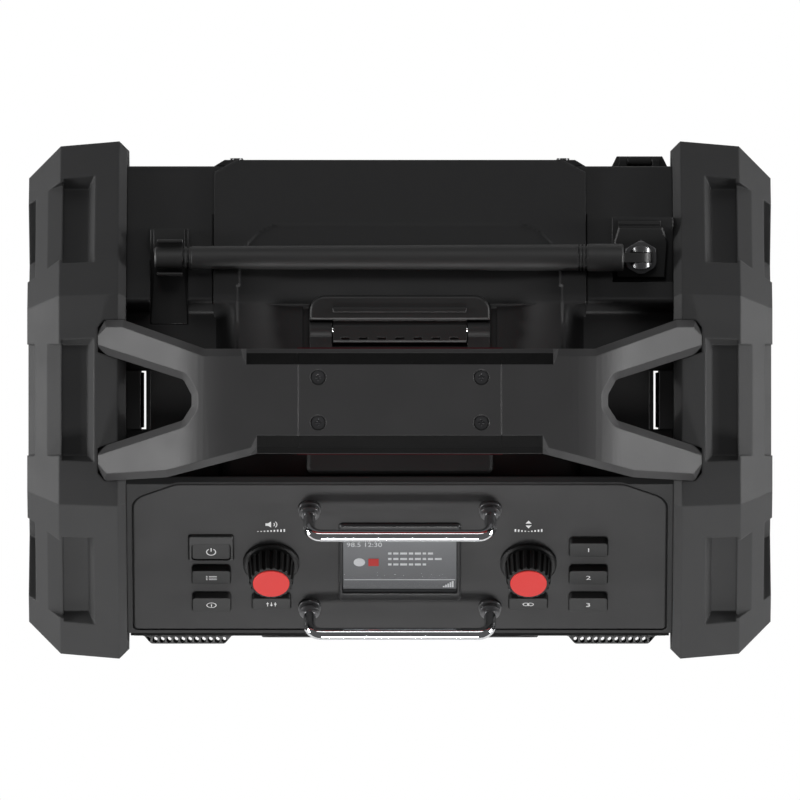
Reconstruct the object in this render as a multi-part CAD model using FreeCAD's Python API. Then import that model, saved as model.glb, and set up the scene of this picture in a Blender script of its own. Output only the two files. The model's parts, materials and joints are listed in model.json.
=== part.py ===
import FreeCAD, Part
import math
import os

V = FreeCAD.Vector
os.makedirs("parts", exist_ok=True)

# Frame: X to the right, Y to the rear, Z up, millimetres, origin on the floor below the middle.

# Shared clearances and wall
FREE = 0.3
RUN_FIT = 0.05
SEAM = 0.15
WALL = 4.0
CUT_OVER = 5.0

# Body box
BODY_HALF_X = 157.8
BODY_FRONT_Y = -135.0
BODY_REAR_Y = 135.3
BODY_LOW_Z = 14.0
BODY_EDGE = 8.0
HOUSING_SPLIT_Y = -44.0
REAR_CREST_Y = 56.5
REAR_CREST_Z = 250.0
REAR_LOW_CREST_Z = 180.0
CREST_FOOT_Y = 51.0
VALLEY_Z = 230.0
SADDLE_Z = 238.0
SADDLE_HALF_X = 104.0
SADDLE_ROUND = 7.0
RIM_TOP_Z = 248.0
SIDE_SLOT_X = 145.0
SIDE_SLOT_HALF_Y = 17.0

# Control panel plane, leaning back by its tilt from the low edge
PANEL_TILT = 45.0
PANEL_LOW_Y = -133.05
PANEL_LOW_Z = 163.6
PANEL_LENGTH = 119.4
PANEL_HALF_X = 154.3
PANEL_THICK = 3.5
PANEL_CORNER_X = 25.0
PANEL_CORNER_V = 12.0
PANEL_SMALL_R = 3.0
PANEL_LEDGE = 3.5
PANEL_WINDOW_HALF_X = 142.0
PANEL_WINDOW_LOW_V = 9.0
PANEL_WINDOW_HIGH_V = 104.0

# Control board behind the panel
BOARD_TOP_W = -11.0
BOARD_THICK = 1.6
BOARD_HALF_X = 136.0
BOARD_LOW_V = 13.0
BOARD_HIGH_V = 100.0
POST_R = 3.0
POST_PLACES = [(-130.0, 36.0), (-130.0, 84.0), (130.0, 36.0), (130.0, 84.0), (-52.0, 60.0), (52.0, 60.0)]
SWITCH_SIDE = 6.0

# Push buttons: name, centre across the panel, centre up the panel, height, how proud each edge stands
BUTTON_WIDE = 22.0
BUTTON_TALL = 15.0
BUTTON_SMALL_TALL = 13.0
POWER_TALL = 12.6
WEDGE_HIGH_W = 4.6
WEDGE_LOW_W = 0.7
POWER_PROUD = 1.0
BUTTON_CORNER = 2.0
BUTTON_BEVEL = 0.9
BUTTON_FLANGE_OVER = 1.6
BUTTON_FLANGE_THICK = 1.3
BUTTON_LIFT = 0.4
BUTTON_TRAVEL = 1.0
BUTTON_STEM_R = 2.0
COLUMN_X = 109.0
KNOB_X = 74.3
KNOB_V = 55.5
ROW_HIGH_V = 68.0
ROW_MID_V = 45.3
ROW_LOW_V = 22.9
SMALL_V = 23.6
POWER_V = 65.2
WEDGE = (WEDGE_LOW_W, WEDGE_HIGH_W)
FLAT = (POWER_PROUD, POWER_PROUD)
BUTTONS = [
    ("power_button", -COLUMN_X, POWER_V, POWER_TALL, FLAT),
    ("source_button", -COLUMN_X, ROW_MID_V, BUTTON_TALL, WEDGE),
    ("info_button", -COLUMN_X, ROW_LOW_V, BUTTON_TALL, WEDGE),
    ("tone_button", -KNOB_X, SMALL_V, BUTTON_SMALL_TALL, WEDGE),
    ("link_button", KNOB_X, SMALL_V, BUTTON_SMALL_TALL, WEDGE),
    ("preset_button_1", COLUMN_X, ROW_HIGH_V, BUTTON_TALL, WEDGE),
    ("preset_button_2", COLUMN_X, ROW_MID_V, BUTTON_TALL, WEDGE),
    ("preset_button_3", COLUMN_X, ROW_LOW_V, BUTTON_TALL, WEDGE),
]
POWER_BEZEL_SIZE = (26.8, 20.8)
POWER_BEZEL_V = 68.0
POWER_BEZEL_PROUD = 1.6

# Rotary knobs
KNOB_SKIRT_R = 16.25
KNOB_SKIRT_THICK = 2.2
KNOB_BODY_R = 13.8
KNOB_TOP_R = 12.6
KNOB_HIGH_W = 17.0
KNOB_GAP = 1.0
KNOB_EDGE = 1.0
KNOB_FLUTES = 20
KNOB_FLUTE_R = 1.3
CAP_R = 10.5
CAP_DEEP = 3.0
CAP_PROUD = 0.8
SPINDLE_R = 3.0
SPINDLE_LOW_W = -9.0
SPINDLE_HIGH_W = 12.0
BUSHING_R = 4.5
BUSHING_HIGH_W = 4.0
ENCODER_HALF = 7.0
KNOB_WELL_R = 6.0
KNOB_WELL_HIGH_W = 5.0

# Display
SCREEN_SIZE = (66.0, 50.0)
SCREEN_V = 57.2
BEZEL_SIZE = (70.8, 63.0)
BEZEL_V = 56.5
BEZEL_PROUD = 2.2
BEZEL_EDGE = 1.2
BEZEL_CORNER = 3.0
LENS_PROUD = 0.6
DISPLAY_SIZE = (74.0, 58.0)
DISPLAY_DEEP = 5.0

# Bright guard bars over the display
BAR_R = 3.0
BAR_HALF_X = 52.2
BAR_STANDOFF = 22.0
BAR_BEND_R = 7.0
BAR_VS = [("upper_guard_bar", 99.7), ("lower_guard_bar", 19.0)]
COLLAR_R = 6.1
COLLAR_HIGH = 3.0
COLLAR_NECK_R = 4.6
COLLAR_NECK_HIGH = 5.0

# Front grille and speakers
GRILLE_LOW_Z = 26.0
GRILLE_HIGH_Z = 157.0
GRILLE_HALF_X = 156.0
GRILLE_THICK = 1.2
DOME_X = 123.0
DOME_HALF = 26.0
DOME_TOP_HALF = 20.5
DOME_PROUD = 4.8
DOME_CORNER = 7.0
TRIM_HALF_X = 80.2
TRIM_THICK = 1.4
TRIM_CORNER = 10.0
SPEAKER_Z = 91.0
WOOFER_FLANGE_R = 62.0
WOOFER_HOLE_R = 56.0
WOOFER_DEEP = 52.0
TWEETER_FLANGE_R = 29.0
TWEETER_HOLE_R = 24.0
TWEETER_DEEP = 28.0
FLANGE_THICK = 3.0
MAGNET_SHARE = 0.52
CONE_SHARE = 0.86

# Rear cover with the hand hollow
COVER_HALF_X = 108.0
COVER_THICK = 4.2
COVER_LOW_Z = 30.0
COVER_CORNER = 5.8
HOLLOW_FLOOR_Z = 213.0
HOLLOW_ROUND = 11.0
HOLLOW_PLAN = [(64.7, 102.2), (85.4, 89.1), (90.7, 75.8), (92.5, 62.0)]
HOLLOW_WALL = 5.0
TUB_LOW_Z = 203.0
COVER_SCREW_X = 94.6
COVER_SCREW_ZS = [46.0, 104.0, 162.0]
SCREW_HEAD_R = 3.6
SCREW_HEAD_HIGH = 0.6
SCREW_SHANK_R = 1.75
SCREW_LONG = 12.0

# End guards: outline in side view is an eight-sided figure, inset by an amount at each station in X
GUARD_OUT_X = 214.8
GUARD_SHOULDER_X = 196.3
GUARD_CREST_X = 162.4
GUARD_HALF_Y = 149.8
GUARD_TOP_Z = 262.0
GUARD_LOW_Z = 8.0
GUARD_TOP_CUT = 88.5
GUARD_LOW_CUT = 45.0
GUARD_CHAMFER = 18.5
GUARD_DRAFT = 2.9
GUARD_INNER_CHAMFER = 4.6
GUARD_SKIN = 14.0
POCKET_HALF = 36.6
POCKET_DEEP = 9.0
POCKET_TAPER = 4.6
POCKET_OUT_X = 194.5
POCKET_IN_X = 175.2
CHANNEL_DEEP = 4.4
CHANNEL_LONG = 46.0
RIB_IN_X = 149.4
RIB_HALF_Y = 16.0
RIB_LOW_Z = 30.0
RIB_HIGH_Z = 226.0
FOOT_Y = 78.0
FOOT_LONG = 38.0
FOOT_WIDE = 26.0
FOOT_X = 178.0
FOOT_SUNK = 3.0
FOOT_EDGE = 2.0
BOLT_PLACES = [(-70.0, 66.0), (70.0, 66.0), (-70.0, 186.0), (70.0, 186.0)]
BOLT_HEAD_R = 5.0
BOLT_HEAD_HIGH = 5.0
BOLT_WELL_R = 6.5
BOLT_SEAT_X = 172.0
BOLT_SHANK_R = 3.0
BOLT_HEX_R = 2.6
BOSS_R = 11.0

# Handle, measured as half in X
HANDLE_TOP_Z = 320.0
HANDLE_THICK = 32.0
HANDLE_FOOT_X = 173.8
HANDLE_FOOT_LOW_Z = 240.0
HANDLE_ARM_THICK = 28.0
HANDLE_BEND_R = 50.0
HANDLE_UNDER_R = 26.0
HANDLE_EDGE = 4.2
HANDLE_REAR = [(173.8, 42.0), (169.8, 46.1), (159.1, 46.1), (112.0, 29.4), (0.0, 29.4)]
HANDLE_FRONT = [(0.0, -30.4), (82.0, -30.8), (134.0, -44.4), (169.8, -46.6), (173.8, -42.0)]
FORK_OPENING = [(180.0, 29.5), (124.2, 11.7), (119.5, 3.0), (119.5, -3.6), (124.7, -11.7), (180.0, -29.6)]
FORK_NOSE_R = 7.0
GRIP_HALF_X = 58.3
GRIP_SPLIT_Z = 309.0
UNDER_SPLIT_Z = 301.0
UNDER_HALF_X = 84.0
UNDER_HALF_Y = 30.9
UNDER_FOOT_HALF_Y = 22.0
UNDER_MID_Y = 0.5
HANDLE_SCREW_X = 46.8
HANDLE_SCREW_Y = 13.0
HANDLE_SCREW_R = 4.0
HANDLE_SCREW_WELL_R = 4.5
HANDLE_SCREW_WELL = 2.0
HANDLE_SCREW_LONG = 14.0

# Compartment under the handle
TRAY_HALF_X = 46.0
TRAY_REAR_Y = 24.0
TRAY_FRONT_Y = -38.0
TRAY_DEEP = 34.0
TRAY_WALL = 2.4
TRAY_LIP = 3.0
LID_HALF_X = 53.8
LID_REAR_HALF_X = 52.2
LID_FRONT_Y = -42.6
LID_REAR_Y = 31.0
LID_THICK = 8.0
LID_SHELL = 2.6
LID_EDGE = 2.0
LID_GAP = 0.4
HINGE_Y = 40.6
HINGE_Z = 243.6
KNUCKLE_R = 4.6
KNUCKLE_IN_X = 39.0
KNUCKLE_OUT_X = 52.0
HINGE_PIN_R = 1.5
TONGUE_REAR_Y = 60.4
TONGUE_FRONT_Y = 46.0
TONGUE_HALF_X = 52.0
TONGUE_CORNER = 9.0
TONGUE_TOP_Z = 249.0
RIB_Y = (50.7, 53.1)
RIB_HIGH = 1.2
HINGE_SLOT_Y = (42.9, 45.6)
HINGE_SLOT_DEEP = 2.4
MIDDLE_HALF_X = 38.4
MIDDLE_FRONT_Y = 33.0
DASH_COUNT = 7
DASH_STEP = 10.46
DASH_LONG = 5.0
DASH_WIDE = 1.4
DASH_DEEP = 1.5
DASH_Y = 35.4

# Antenna, lying along X behind the handle
ROD_Y = 82.1
ROD_Z = 240.0
FOLD_X = 139.1
TIP_X = -141.5
TIP_SLEEVE_X = -125.3
TIP_R = 6.25
ROD_TIP_R = 6.6
ROD_BASE_R = 7.65
GROOVES_X = 102.8
BARREL_X = 108.8
GROOVE_DEEP = 1.0
GROOVE_WIDE = 1.4
GROOVE_STEP = 2.6
GROOVE_COUNT = 3
BARREL_R = 8.0
BARREL_END_X = 129.0
BLADE_HALF_Y = 2.8
BLADE_R = 5.8
FORK_HALF_Y = 6.8
FORK_R = 6.4
FORK_FOOT_R = 7.0
FORK_PIN_R = 1.6
NUT_FLATS = 17.8
NUT_HIGH = 5.0
PEDESTAL_TOP_Z = 226.0
PEDESTAL_THICK = 3.0
PEDESTAL_X = (123.6, 154.8)
PEDESTAL_Y = (70.0, 99.9)
PEDESTAL_PLAN = [(124.4, 70.0), (153.4, 70.0), (154.8, 91.0), (151.5, 99.9), (126.1, 99.9), (123.6, 91.0)]
PEDESTAL_SILL = (126.1, 150.4, 101.2, 103.2)
PEDESTAL_CUT = 2.0
PEDESTAL_REAR_CUT = 5.6
NUT_BASE_Z = PEDESTAL_TOP_Z
ROD_RELIEF_R = 9.6

# Clip that holds the antenna tip
CLIP_X = (-143.6, -122.4)
CLIP_Y = (44.0, 98.4)
CLIP_TAPER_Y = 70.4
CLIP_TAPER = 1.6
CLIP_FLOOR_Z = 228.0
CLIP_BASE_THICK = 2.5
CLIP_LIP_YS = (72.6, 91.6)
CLIP_LIP_THICK = 2.0
CLIP_LIP_TOP_Z = 246.0
CLIP_LIP_X = (-139.8, -125.4)
CLIP_ROUND = 1.2

# Power inlet with its weather cap on the rear wall
INLET_X = 139.4
INLET_Z = 96.0
INLET_CAP_HALF = (16.2, 15.0)
INLET_CAP_DEEP = 6.4
INLET_CAP_TAPER = 3.0
INLET_CAP_GAP = 0.3
INLET_HALF = (11.5, 9.0)
INLET_LONG = 20.0
INLET_WELL_HALF = (9.0, 6.5)
INLET_WELL_DEEP = 15.0
INLET_FLANGE = 2.0
INLET_FLANGE_MORE = 1.6
PRONG_HALF = (1.0, 2.0)
PRONG_PLACES = [(-4.5, -1.0), (4.5, -1.0), (0.0, 2.5)]
PRONG_LONG = 11.0
CAP_PIN_Z = 114.0
CAP_PIN_Y = 139.0
CAP_PIN_R = 1.0
CAP_KNUCKLE_R = 2.6
CAP_KNUCKLE_HALF = 7.0
CAP_LUG_HALF = 12.0

# Main board inside the rear housing
MAIN_BOARD_HALF_X = 80.0
MAIN_BOARD_Y = 108.0
MAIN_BOARD_ZS = (40.0, 170.0)
MAIN_BOARD_PARTS = [(-50.0, 80.0, 16.0, 26.0), (0.0, 120.0, 12.0, 18.0), (48.0, 84.0, 18.0, 22.0)]
MAIN_BOARD_PILLARS = [(-72.0, 50.0), (72.0, 50.0), (-72.0, 160.0), (72.0, 160.0)]


def box(x0, x1, y0, y1, z0, z1):
    size = (abs(x1 - x0), abs(y1 - y0), abs(z1 - z0))
    corner = V(min(x0, x1), min(y0, y1), min(z0, z1))
    return Part.makeBox(size[0], size[1], size[2], corner)


def face_of(points):
    ring = [V(*p) for p in points]
    ring.append(ring[0])
    return Part.Face(Part.makePolygon(ring))


def prism_x(points, x0, x1):
    flat = face_of([(x0, y, z) for y, z in points])
    return flat.extrude(V(x1 - x0, 0, 0))


def prism_y(points, y0, y1):
    flat = face_of([(x, y0, z) for x, z in points])
    return flat.extrude(V(0, y1 - y0, 0))


def prism_z(points, z0, z1):
    flat = face_of([(x, y, z0) for x, y in points])
    return flat.extrude(V(0, 0, z1 - z0))


def rod(radius, start, end):
    a = V(*start)
    b = V(*end)
    return Part.makeCylinder(radius, (b - a).Length, a, b - a)


def mirrored(shape):
    return shape.mirror(V(0, 0, 0), V(1, 0, 0))


def edges_along(shape, direction):
    chosen = []
    for edge in shape.Edges:
        if len(edge.Vertexes) != 2:
            continue
        line = edge.Vertexes[1].Point - edge.Vertexes[0].Point
        across = line.cross(V(*direction)).Length
        if line.Length > 0 and across < line.Length / 1000 and edge.Curve.TypeId == "Part::GeomLine":
            chosen.append(edge)
    return chosen


def edges_where(shape, test):
    chosen = []
    for edge in shape.Edges:
        if all(test(v.Point) for v in edge.Vertexes) and test(edge.CenterOfMass):
            chosen.append(edge)
    return chosen


def near(value, target):
    return abs(value - target) < RUN_FIT


def round_plate(size, low, high, corner):
    half_x = size[0] / 2
    half_y = size[1] / 2
    plate = box(-half_x, half_x, -half_y, half_y, low, high)
    return plate.makeFillet(corner, edges_along(plate, (0, 0, 1)))


def on_panel(shape):
    shape.rotate(V(0, 0, 0), V(1, 0, 0), PANEL_TILT)
    shape.translate(V(0, PANEL_LOW_Y, PANEL_LOW_Z))
    return shape


def moved(shape, x, y, z):
    shape.translate(V(x, y, z))
    return shape


def one_solid(shape):
    clean = shape.removeSplitter()
    if clean.ShapeType != "Solid" and len(clean.Solids) == 1:
        return clean.Solids[0]
    return clean


def save(name, shape):
    one_solid(shape).exportStep("parts/" + name + ".step")


def slope_z(y):
    fall = (REAR_CREST_Z - REAR_LOW_CREST_Z) / (BODY_REAR_Y - REAR_CREST_Y)
    return REAR_CREST_Z - (y - REAR_CREST_Y) * fall


# Control panel and what is mounted on it

def panel_outline(grow, low, high):
    half = PANEL_HALF_X + grow
    top = PANEL_LENGTH + grow
    points = [(-half, -grow), (half, -grow), (half, top - PANEL_CORNER_V)]
    points += [(half - PANEL_CORNER_X, top), (PANEL_CORNER_X - half, top), (-half, top - PANEL_CORNER_V)]
    plate = prism_z(points, low, high)
    corners = edges_where(plate, lambda p: near(abs(p.x), half) and near(p.y, -grow))
    plate = plate.makeFillet(PANEL_SMALL_R, corners)
    high_corners = [e for e in edges_along(plate, (0, 0, 1)) if e.CenterOfMass.y > PANEL_LENGTH / 2]
    return plate.makeFillet(PANEL_CORNER_V, high_corners)


def control_panel():
    plate = panel_outline(0, -PANEL_THICK, 0)
    top = edges_where(plate, lambda p: near(p.z, 0))
    plate = plate.makeChamfer(BUTTON_BEVEL, top)
    for x, v in POST_PLACES:
        plate = plate.fuse(rod(POST_R, (x, v, BOARD_TOP_W), (x, v, -PANEL_THICK)))
    for name, x, v, tall, rise in BUTTONS:
        hole = button_hole(tall, -PANEL_THICK - CUT_OVER)
        plate = plate.cut(moved(hole, x, v, 0))
    size = (SCREEN_SIZE[0] + 2 * FREE, SCREEN_SIZE[1] + 2 * FREE)
    window = round_plate(size, -PANEL_THICK - CUT_OVER, CUT_OVER, 1)
    plate = plate.cut(moved(window, 0, SCREEN_V, 0))
    for side in (-1, 1):
        reach = (side * KNOB_X, KNOB_V)
        plate = plate.cut(rod(BUSHING_R + RUN_FIT, reach + (-PANEL_THICK - CUT_OVER,), reach + (CUT_OVER,)))
    return on_panel(plate)


def button_hole(tall, low):
    size = (BUTTON_WIDE + 2 * FREE, tall + 2 * FREE)
    return round_plate(size, low, CUT_OVER, BUTTON_CORNER + FREE)


def button(x, v, tall, rise):
    low = -PANEL_THICK - BUTTON_LIFT
    wide = BUTTON_WIDE / 2
    side = [(-tall / 2, low), (tall / 2, low), (tall / 2, rise[1]), (-tall / 2, rise[0])]
    cap = prism_x(side, -wide, wide)
    cap = cap.makeFillet(BUTTON_CORNER, edges_along(cap, (0, 0, 1)))
    cap = cap.makeFillet(BUTTON_BEVEL / 2, edges_where(cap, lambda p: p.z > 0))
    over = 2 * BUTTON_FLANGE_OVER
    flange = round_plate((BUTTON_WIDE + over, tall + over), low - BUTTON_FLANGE_THICK, low, 1)
    stem_low = BOARD_TOP_W + SWITCH_SIDE / 2 + BUTTON_TRAVEL + BUTTON_LIFT / 2
    stem = rod(BUTTON_STEM_R, (0, 0, stem_low), (0, 0, low))
    whole = cap.fuse(flange).fuse(stem)
    return on_panel(moved(whole, x, v, 0))


def power_bezel():
    frame = round_plate(POWER_BEZEL_SIZE, 0, POWER_BEZEL_PROUD, BUTTON_CORNER)
    frame = frame.makeChamfer(BUTTON_BEVEL, edges_where(frame, lambda p: near(p.z, POWER_BEZEL_PROUD)))
    frame = moved(frame, -COLUMN_X, POWER_BEZEL_V, 0)
    hole = button_hole(POWER_TALL, -CUT_OVER)
    return on_panel(frame.cut(moved(hole, -COLUMN_X, POWER_V, 0)))


def control_board():
    board = box(-BOARD_HALF_X, BOARD_HALF_X, BOARD_LOW_V, BOARD_HIGH_V, BOARD_TOP_W - BOARD_THICK, BOARD_TOP_W)
    board = board.makeFillet(POST_R, edges_along(board, (0, 0, 1)))
    half = SWITCH_SIDE / 2
    for name, x, v, tall, rise in BUTTONS:
        switch = box(x - half, x + half, v - half, v + half, BOARD_TOP_W - 1, BOARD_TOP_W + half)
        board = board.fuse(switch)
    return on_panel(board)


def knob(side):
    low = KNOB_GAP
    skirt_top = low + KNOB_SKIRT_THICK
    skirt = rod(KNOB_SKIRT_R, (0, 0, low), (0, 0, skirt_top))
    skirt = skirt.makeChamfer(KNOB_EDGE, edges_where(skirt, lambda p: near(p.z, skirt_top)))
    body = Part.makeCone(KNOB_BODY_R, KNOB_TOP_R, KNOB_HIGH_W - low, V(0, 0, low))
    body = body.makeFillet(KNOB_EDGE, edges_where(body, lambda p: near(p.z, KNOB_HIGH_W)))
    for i in range(KNOB_FLUTES):
        turn = 2 * math.pi * i / KNOB_FLUTES
        a = (KNOB_BODY_R * math.cos(turn), KNOB_BODY_R * math.sin(turn), skirt_top)
        b = (KNOB_TOP_R * math.cos(turn), KNOB_TOP_R * math.sin(turn), KNOB_HIGH_W + CUT_OVER)
        body = body.cut(rod(KNOB_FLUTE_R, a, b))
    whole = skirt.fuse(body)
    whole = whole.cut(rod(CAP_R, (0, 0, KNOB_HIGH_W - CAP_DEEP), (0, 0, KNOB_HIGH_W + CUT_OVER)))
    whole = whole.cut(rod(KNOB_WELL_R, (0, 0, low - CUT_OVER), (0, 0, KNOB_WELL_HIGH_W)))
    whole = whole.cut(rod(SPINDLE_R, (0, 0, low), (0, 0, SPINDLE_HIGH_W)))
    return on_panel(moved(whole, side * KNOB_X, KNOB_V, 0))


def knob_cap(side):
    top = KNOB_HIGH_W + CAP_PROUD
    cap = rod(CAP_R, (0, 0, KNOB_HIGH_W - CAP_DEEP), (0, 0, top))
    cap = cap.makeFillet(CAP_PROUD / 2, edges_where(cap, lambda p: near(p.z, top)))
    return on_panel(moved(cap, side * KNOB_X, KNOB_V, 0))


def spindle(side):
    bar = rod(SPINDLE_R, (0, 0, SPINDLE_LOW_W), (0, 0, SPINDLE_HIGH_W))
    return on_panel(moved(bar, side * KNOB_X, KNOB_V, 0))


def encoder(side):
    half = ENCODER_HALF
    body = box(-half, half, -half, half, BOARD_TOP_W, -PANEL_THICK)
    body = body.fuse(rod(BUSHING_R, (0, 0, -PANEL_THICK), (0, 0, BUSHING_HIGH_W)))
    bore = rod(SPINDLE_R + RUN_FIT, (0, 0, SPINDLE_LOW_W - FREE), (0, 0, CUT_OVER))
    return on_panel(moved(body.cut(bore), side * KNOB_X, KNOB_V, 0))


def display_bezel():
    frame = round_plate(BEZEL_SIZE, 0, BEZEL_PROUD, BEZEL_CORNER)
    frame = frame.makeChamfer(BEZEL_EDGE, edges_where(frame, lambda p: near(p.z, BEZEL_PROUD)))
    frame = moved(frame, 0, BEZEL_V, 0)
    size = (SCREEN_SIZE[0] + 2 * FREE, SCREEN_SIZE[1] + 2 * FREE)
    window = round_plate(size, -CUT_OVER, CUT_OVER, 1)
    return on_panel(frame.cut(moved(window, 0, SCREEN_V, 0)))


def display_lens():
    lens = round_plate(SCREEN_SIZE, -PANEL_THICK, LENS_PROUD, 1)
    return on_panel(moved(lens, 0, SCREEN_V, 0))


def display_module():
    low = -PANEL_THICK - DISPLAY_DEEP
    module = round_plate(DISPLAY_SIZE, low, -PANEL_THICK, 1)
    return on_panel(moved(module, 0, SCREEN_V, 0))


def guard_bar(v):
    r = BAR_BEND_R
    turn = r * (1 - math.cos(math.pi / 4))
    high = BAR_STANDOFF
    side = BAR_HALF_X
    edges = [
        Part.makeLine(V(-side, v, 0), V(-side, v, high - r)),
        Part.Arc(V(-side, v, high - r), V(turn - side, v, high - turn), V(r - side, v, high)).toShape(),
        Part.makeLine(V(r - side, v, high), V(side - r, v, high)),
        Part.Arc(V(side - r, v, high), V(side - turn, v, high - turn), V(side, v, high - r)).toShape(),
        Part.makeLine(V(side, v, high - r), V(side, v, 0)),
    ]
    path = Part.Wire(edges)
    ring = Part.Wire(Part.makeCircle(BAR_R, V(-side, v, 0), V(0, 0, 1)))
    return on_panel(path.makePipeShell([ring], True, False))


def bar_collars():
    collars = []
    for name, v in BAR_VS:
        for x in (-BAR_HALF_X, BAR_HALF_X):
            collar = rod(COLLAR_R, (x, v, 0), (x, v, COLLAR_HIGH))
            rim = edges_where(collar, lambda p: near(p.z, COLLAR_HIGH))
            collar = collar.makeFillet(COLLAR_HIGH / 3, rim)
            collar = collar.fuse(rod(COLLAR_NECK_R, (x, v, 0), (x, v, COLLAR_NECK_HIGH)))
            collars.append(on_panel(collar.cut(rod(BAR_R, (x, v, 0), (x, v, BAR_STANDOFF)))))
    return Part.makeCompound(collars)


# Housings

def body_edges_front():
    return [
        (HOUSING_SPLIT_Y, BODY_LOW_Z),
        (BODY_FRONT_Y + BODY_EDGE, BODY_LOW_Z),
        (BODY_FRONT_Y, BODY_LOW_Z + BODY_EDGE),
        (BODY_FRONT_Y, PANEL_LOW_Z + BODY_FRONT_Y - PANEL_LOW_Y),
        (PANEL_LOW_Y + RIM_TOP_Z - PANEL_LOW_Z, RIM_TOP_Z),
        (HOUSING_SPLIT_Y, RIM_TOP_Z),
    ]


def front_housing():
    outer = prism_x(body_edges_front(), -BODY_HALF_X, BODY_HALF_X)
    drop = (PANEL_THICK + PANEL_LEDGE) * math.sqrt(2)
    rise = PANEL_LOW_Z - PANEL_LOW_Y - drop
    split = HOUSING_SPLIT_Y + CUT_OVER
    wall_y = BODY_FRONT_Y + WALL
    inner = [
        (split, BODY_LOW_Z + WALL),
        (wall_y + BODY_EDGE, BODY_LOW_Z + WALL),
        (wall_y, BODY_LOW_Z + WALL + BODY_EDGE),
        (wall_y, wall_y + rise),
        (RIM_TOP_Z - WALL - rise, RIM_TOP_Z - WALL),
        (split, RIM_TOP_Z - WALL),
    ]
    half = BODY_HALF_X - WALL
    shell = outer.cut(prism_x(inner, -half, half))
    shell = shell.cut(on_panel(panel_outline(FREE, -PANEL_THICK, CUT_OVER)))
    half = PANEL_WINDOW_HALF_X
    deep = -PANEL_THICK - PANEL_LEDGE - CUT_OVER
    window = box(-half, half, PANEL_WINDOW_LOW_V, PANEL_WINDOW_HIGH_V, deep, CUT_OVER)
    shell = shell.cut(on_panel(window))
    start = (0, BODY_FRONT_Y - CUT_OVER, SPEAKER_Z)
    end = (0, BODY_FRONT_Y + WALL + 1, SPEAKER_Z)
    shell = shell.cut(rod(WOOFER_HOLE_R, start, end))
    for x in (-DOME_X, DOME_X):
        shell = shell.cut(rod(TWEETER_HOLE_R, (x,) + start[1:], (x,) + end[1:]))
    return shell


def rear_outer():
    low = [(HOUSING_SPLIT_Y, BODY_LOW_Z), (BODY_REAR_Y - BODY_EDGE, BODY_LOW_Z)]
    rear = [(BODY_REAR_Y, BODY_LOW_Z + BODY_EDGE), (BODY_REAR_Y, REAR_LOW_CREST_Z)]
    top = [(REAR_CREST_Y, REAR_CREST_Z), (CREST_FOOT_Y, VALLEY_Z), (HOUSING_SPLIT_Y, VALLEY_Z)]
    shape = prism_x(low + rear + top, -BODY_HALF_X, BODY_HALF_X)
    foot = edges_where(shape, lambda p: near(p.y, CREST_FOOT_Y) and near(p.z, VALLEY_Z))
    crest = edges_where(shape, lambda p: near(p.y, REAR_CREST_Y) and near(p.z, REAR_CREST_Z))
    edge = edges_where(shape, lambda p: near(p.y, BODY_REAR_Y) and near(p.z, REAR_LOW_CREST_Z))
    shape = shape.makeFillet(CLIP_ROUND * 2, foot + crest + edge)
    half = SADDLE_HALF_X
    saddle = box(-half, half, HOUSING_SPLIT_Y, REAR_CREST_Y, VALLEY_Z - WALL, SADDLE_Z)
    sides = edges_where(saddle, lambda p: near(abs(p.x), half) and near(p.z, SADDLE_Z))
    saddle = saddle.makeFillet(SADDLE_ROUND, sides)
    return shape.fuse(saddle)


def rear_inner():
    split = HOUSING_SPLIT_Y - CUT_OVER
    wall_y = BODY_REAR_Y - WALL
    points = [
        (split, BODY_LOW_Z + WALL),
        (wall_y - BODY_EDGE, BODY_LOW_Z + WALL),
        (wall_y, BODY_LOW_Z + WALL + BODY_EDGE),
        (wall_y, slope_z(wall_y) - WALL * math.sqrt(2)),
        (REAR_CREST_Y, REAR_CREST_Z - WALL * math.sqrt(2)),
        (CREST_FOOT_Y + WALL, VALLEY_Z - WALL),
        (split, VALLEY_Z - WALL),
    ]
    half = BODY_HALF_X - WALL
    inner = prism_x(points, -half, half)
    tub_half = COVER_HALF_X + WALL
    tub_front = REAR_CREST_Y - WALL
    tub_rear = HOLLOW_PLAN[0][1] + 2 * HOLLOW_WALL
    inner = inner.cut(box(-tub_half, tub_half, tub_front, tub_rear, TUB_LOW_Z - WALL, REAR_CREST_Z))
    for side in (-1, 1):
        thick = side * (SIDE_SLOT_X - WALL)
        reach = side * BODY_HALF_X
        y = SIDE_SLOT_HALF_Y + WALL
        inner = inner.cut(box(thick, reach, -y, y, BODY_LOW_Z, REAR_CREST_Z))
    for x0, x1, y0, y1, floor in platform_boxes():
        inner = inner.cut(box(x0 - WALL, x1 + WALL, y0 - WALL, y1 + WALL, floor - WALL, REAR_CREST_Z))
    return inner


def platform_boxes():
    more = PEDESTAL_CUT
    px = (PEDESTAL_X[0] - more / 2, BODY_HALF_X)
    py = (PEDESTAL_Y[0] - more, PEDESTAL_Y[1] + PEDESTAL_REAR_CUT)
    pedestal = (px[0], px[1], py[0], py[1], PEDESTAL_TOP_Z - PEDESTAL_THICK)
    clip = (CLIP_X[0] - FREE, CLIP_X[1] + FREE, CLIP_Y[0] - FREE, CLIP_Y[1] + FREE, CLIP_FLOOR_Z)
    return [pedestal, clip]


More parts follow.
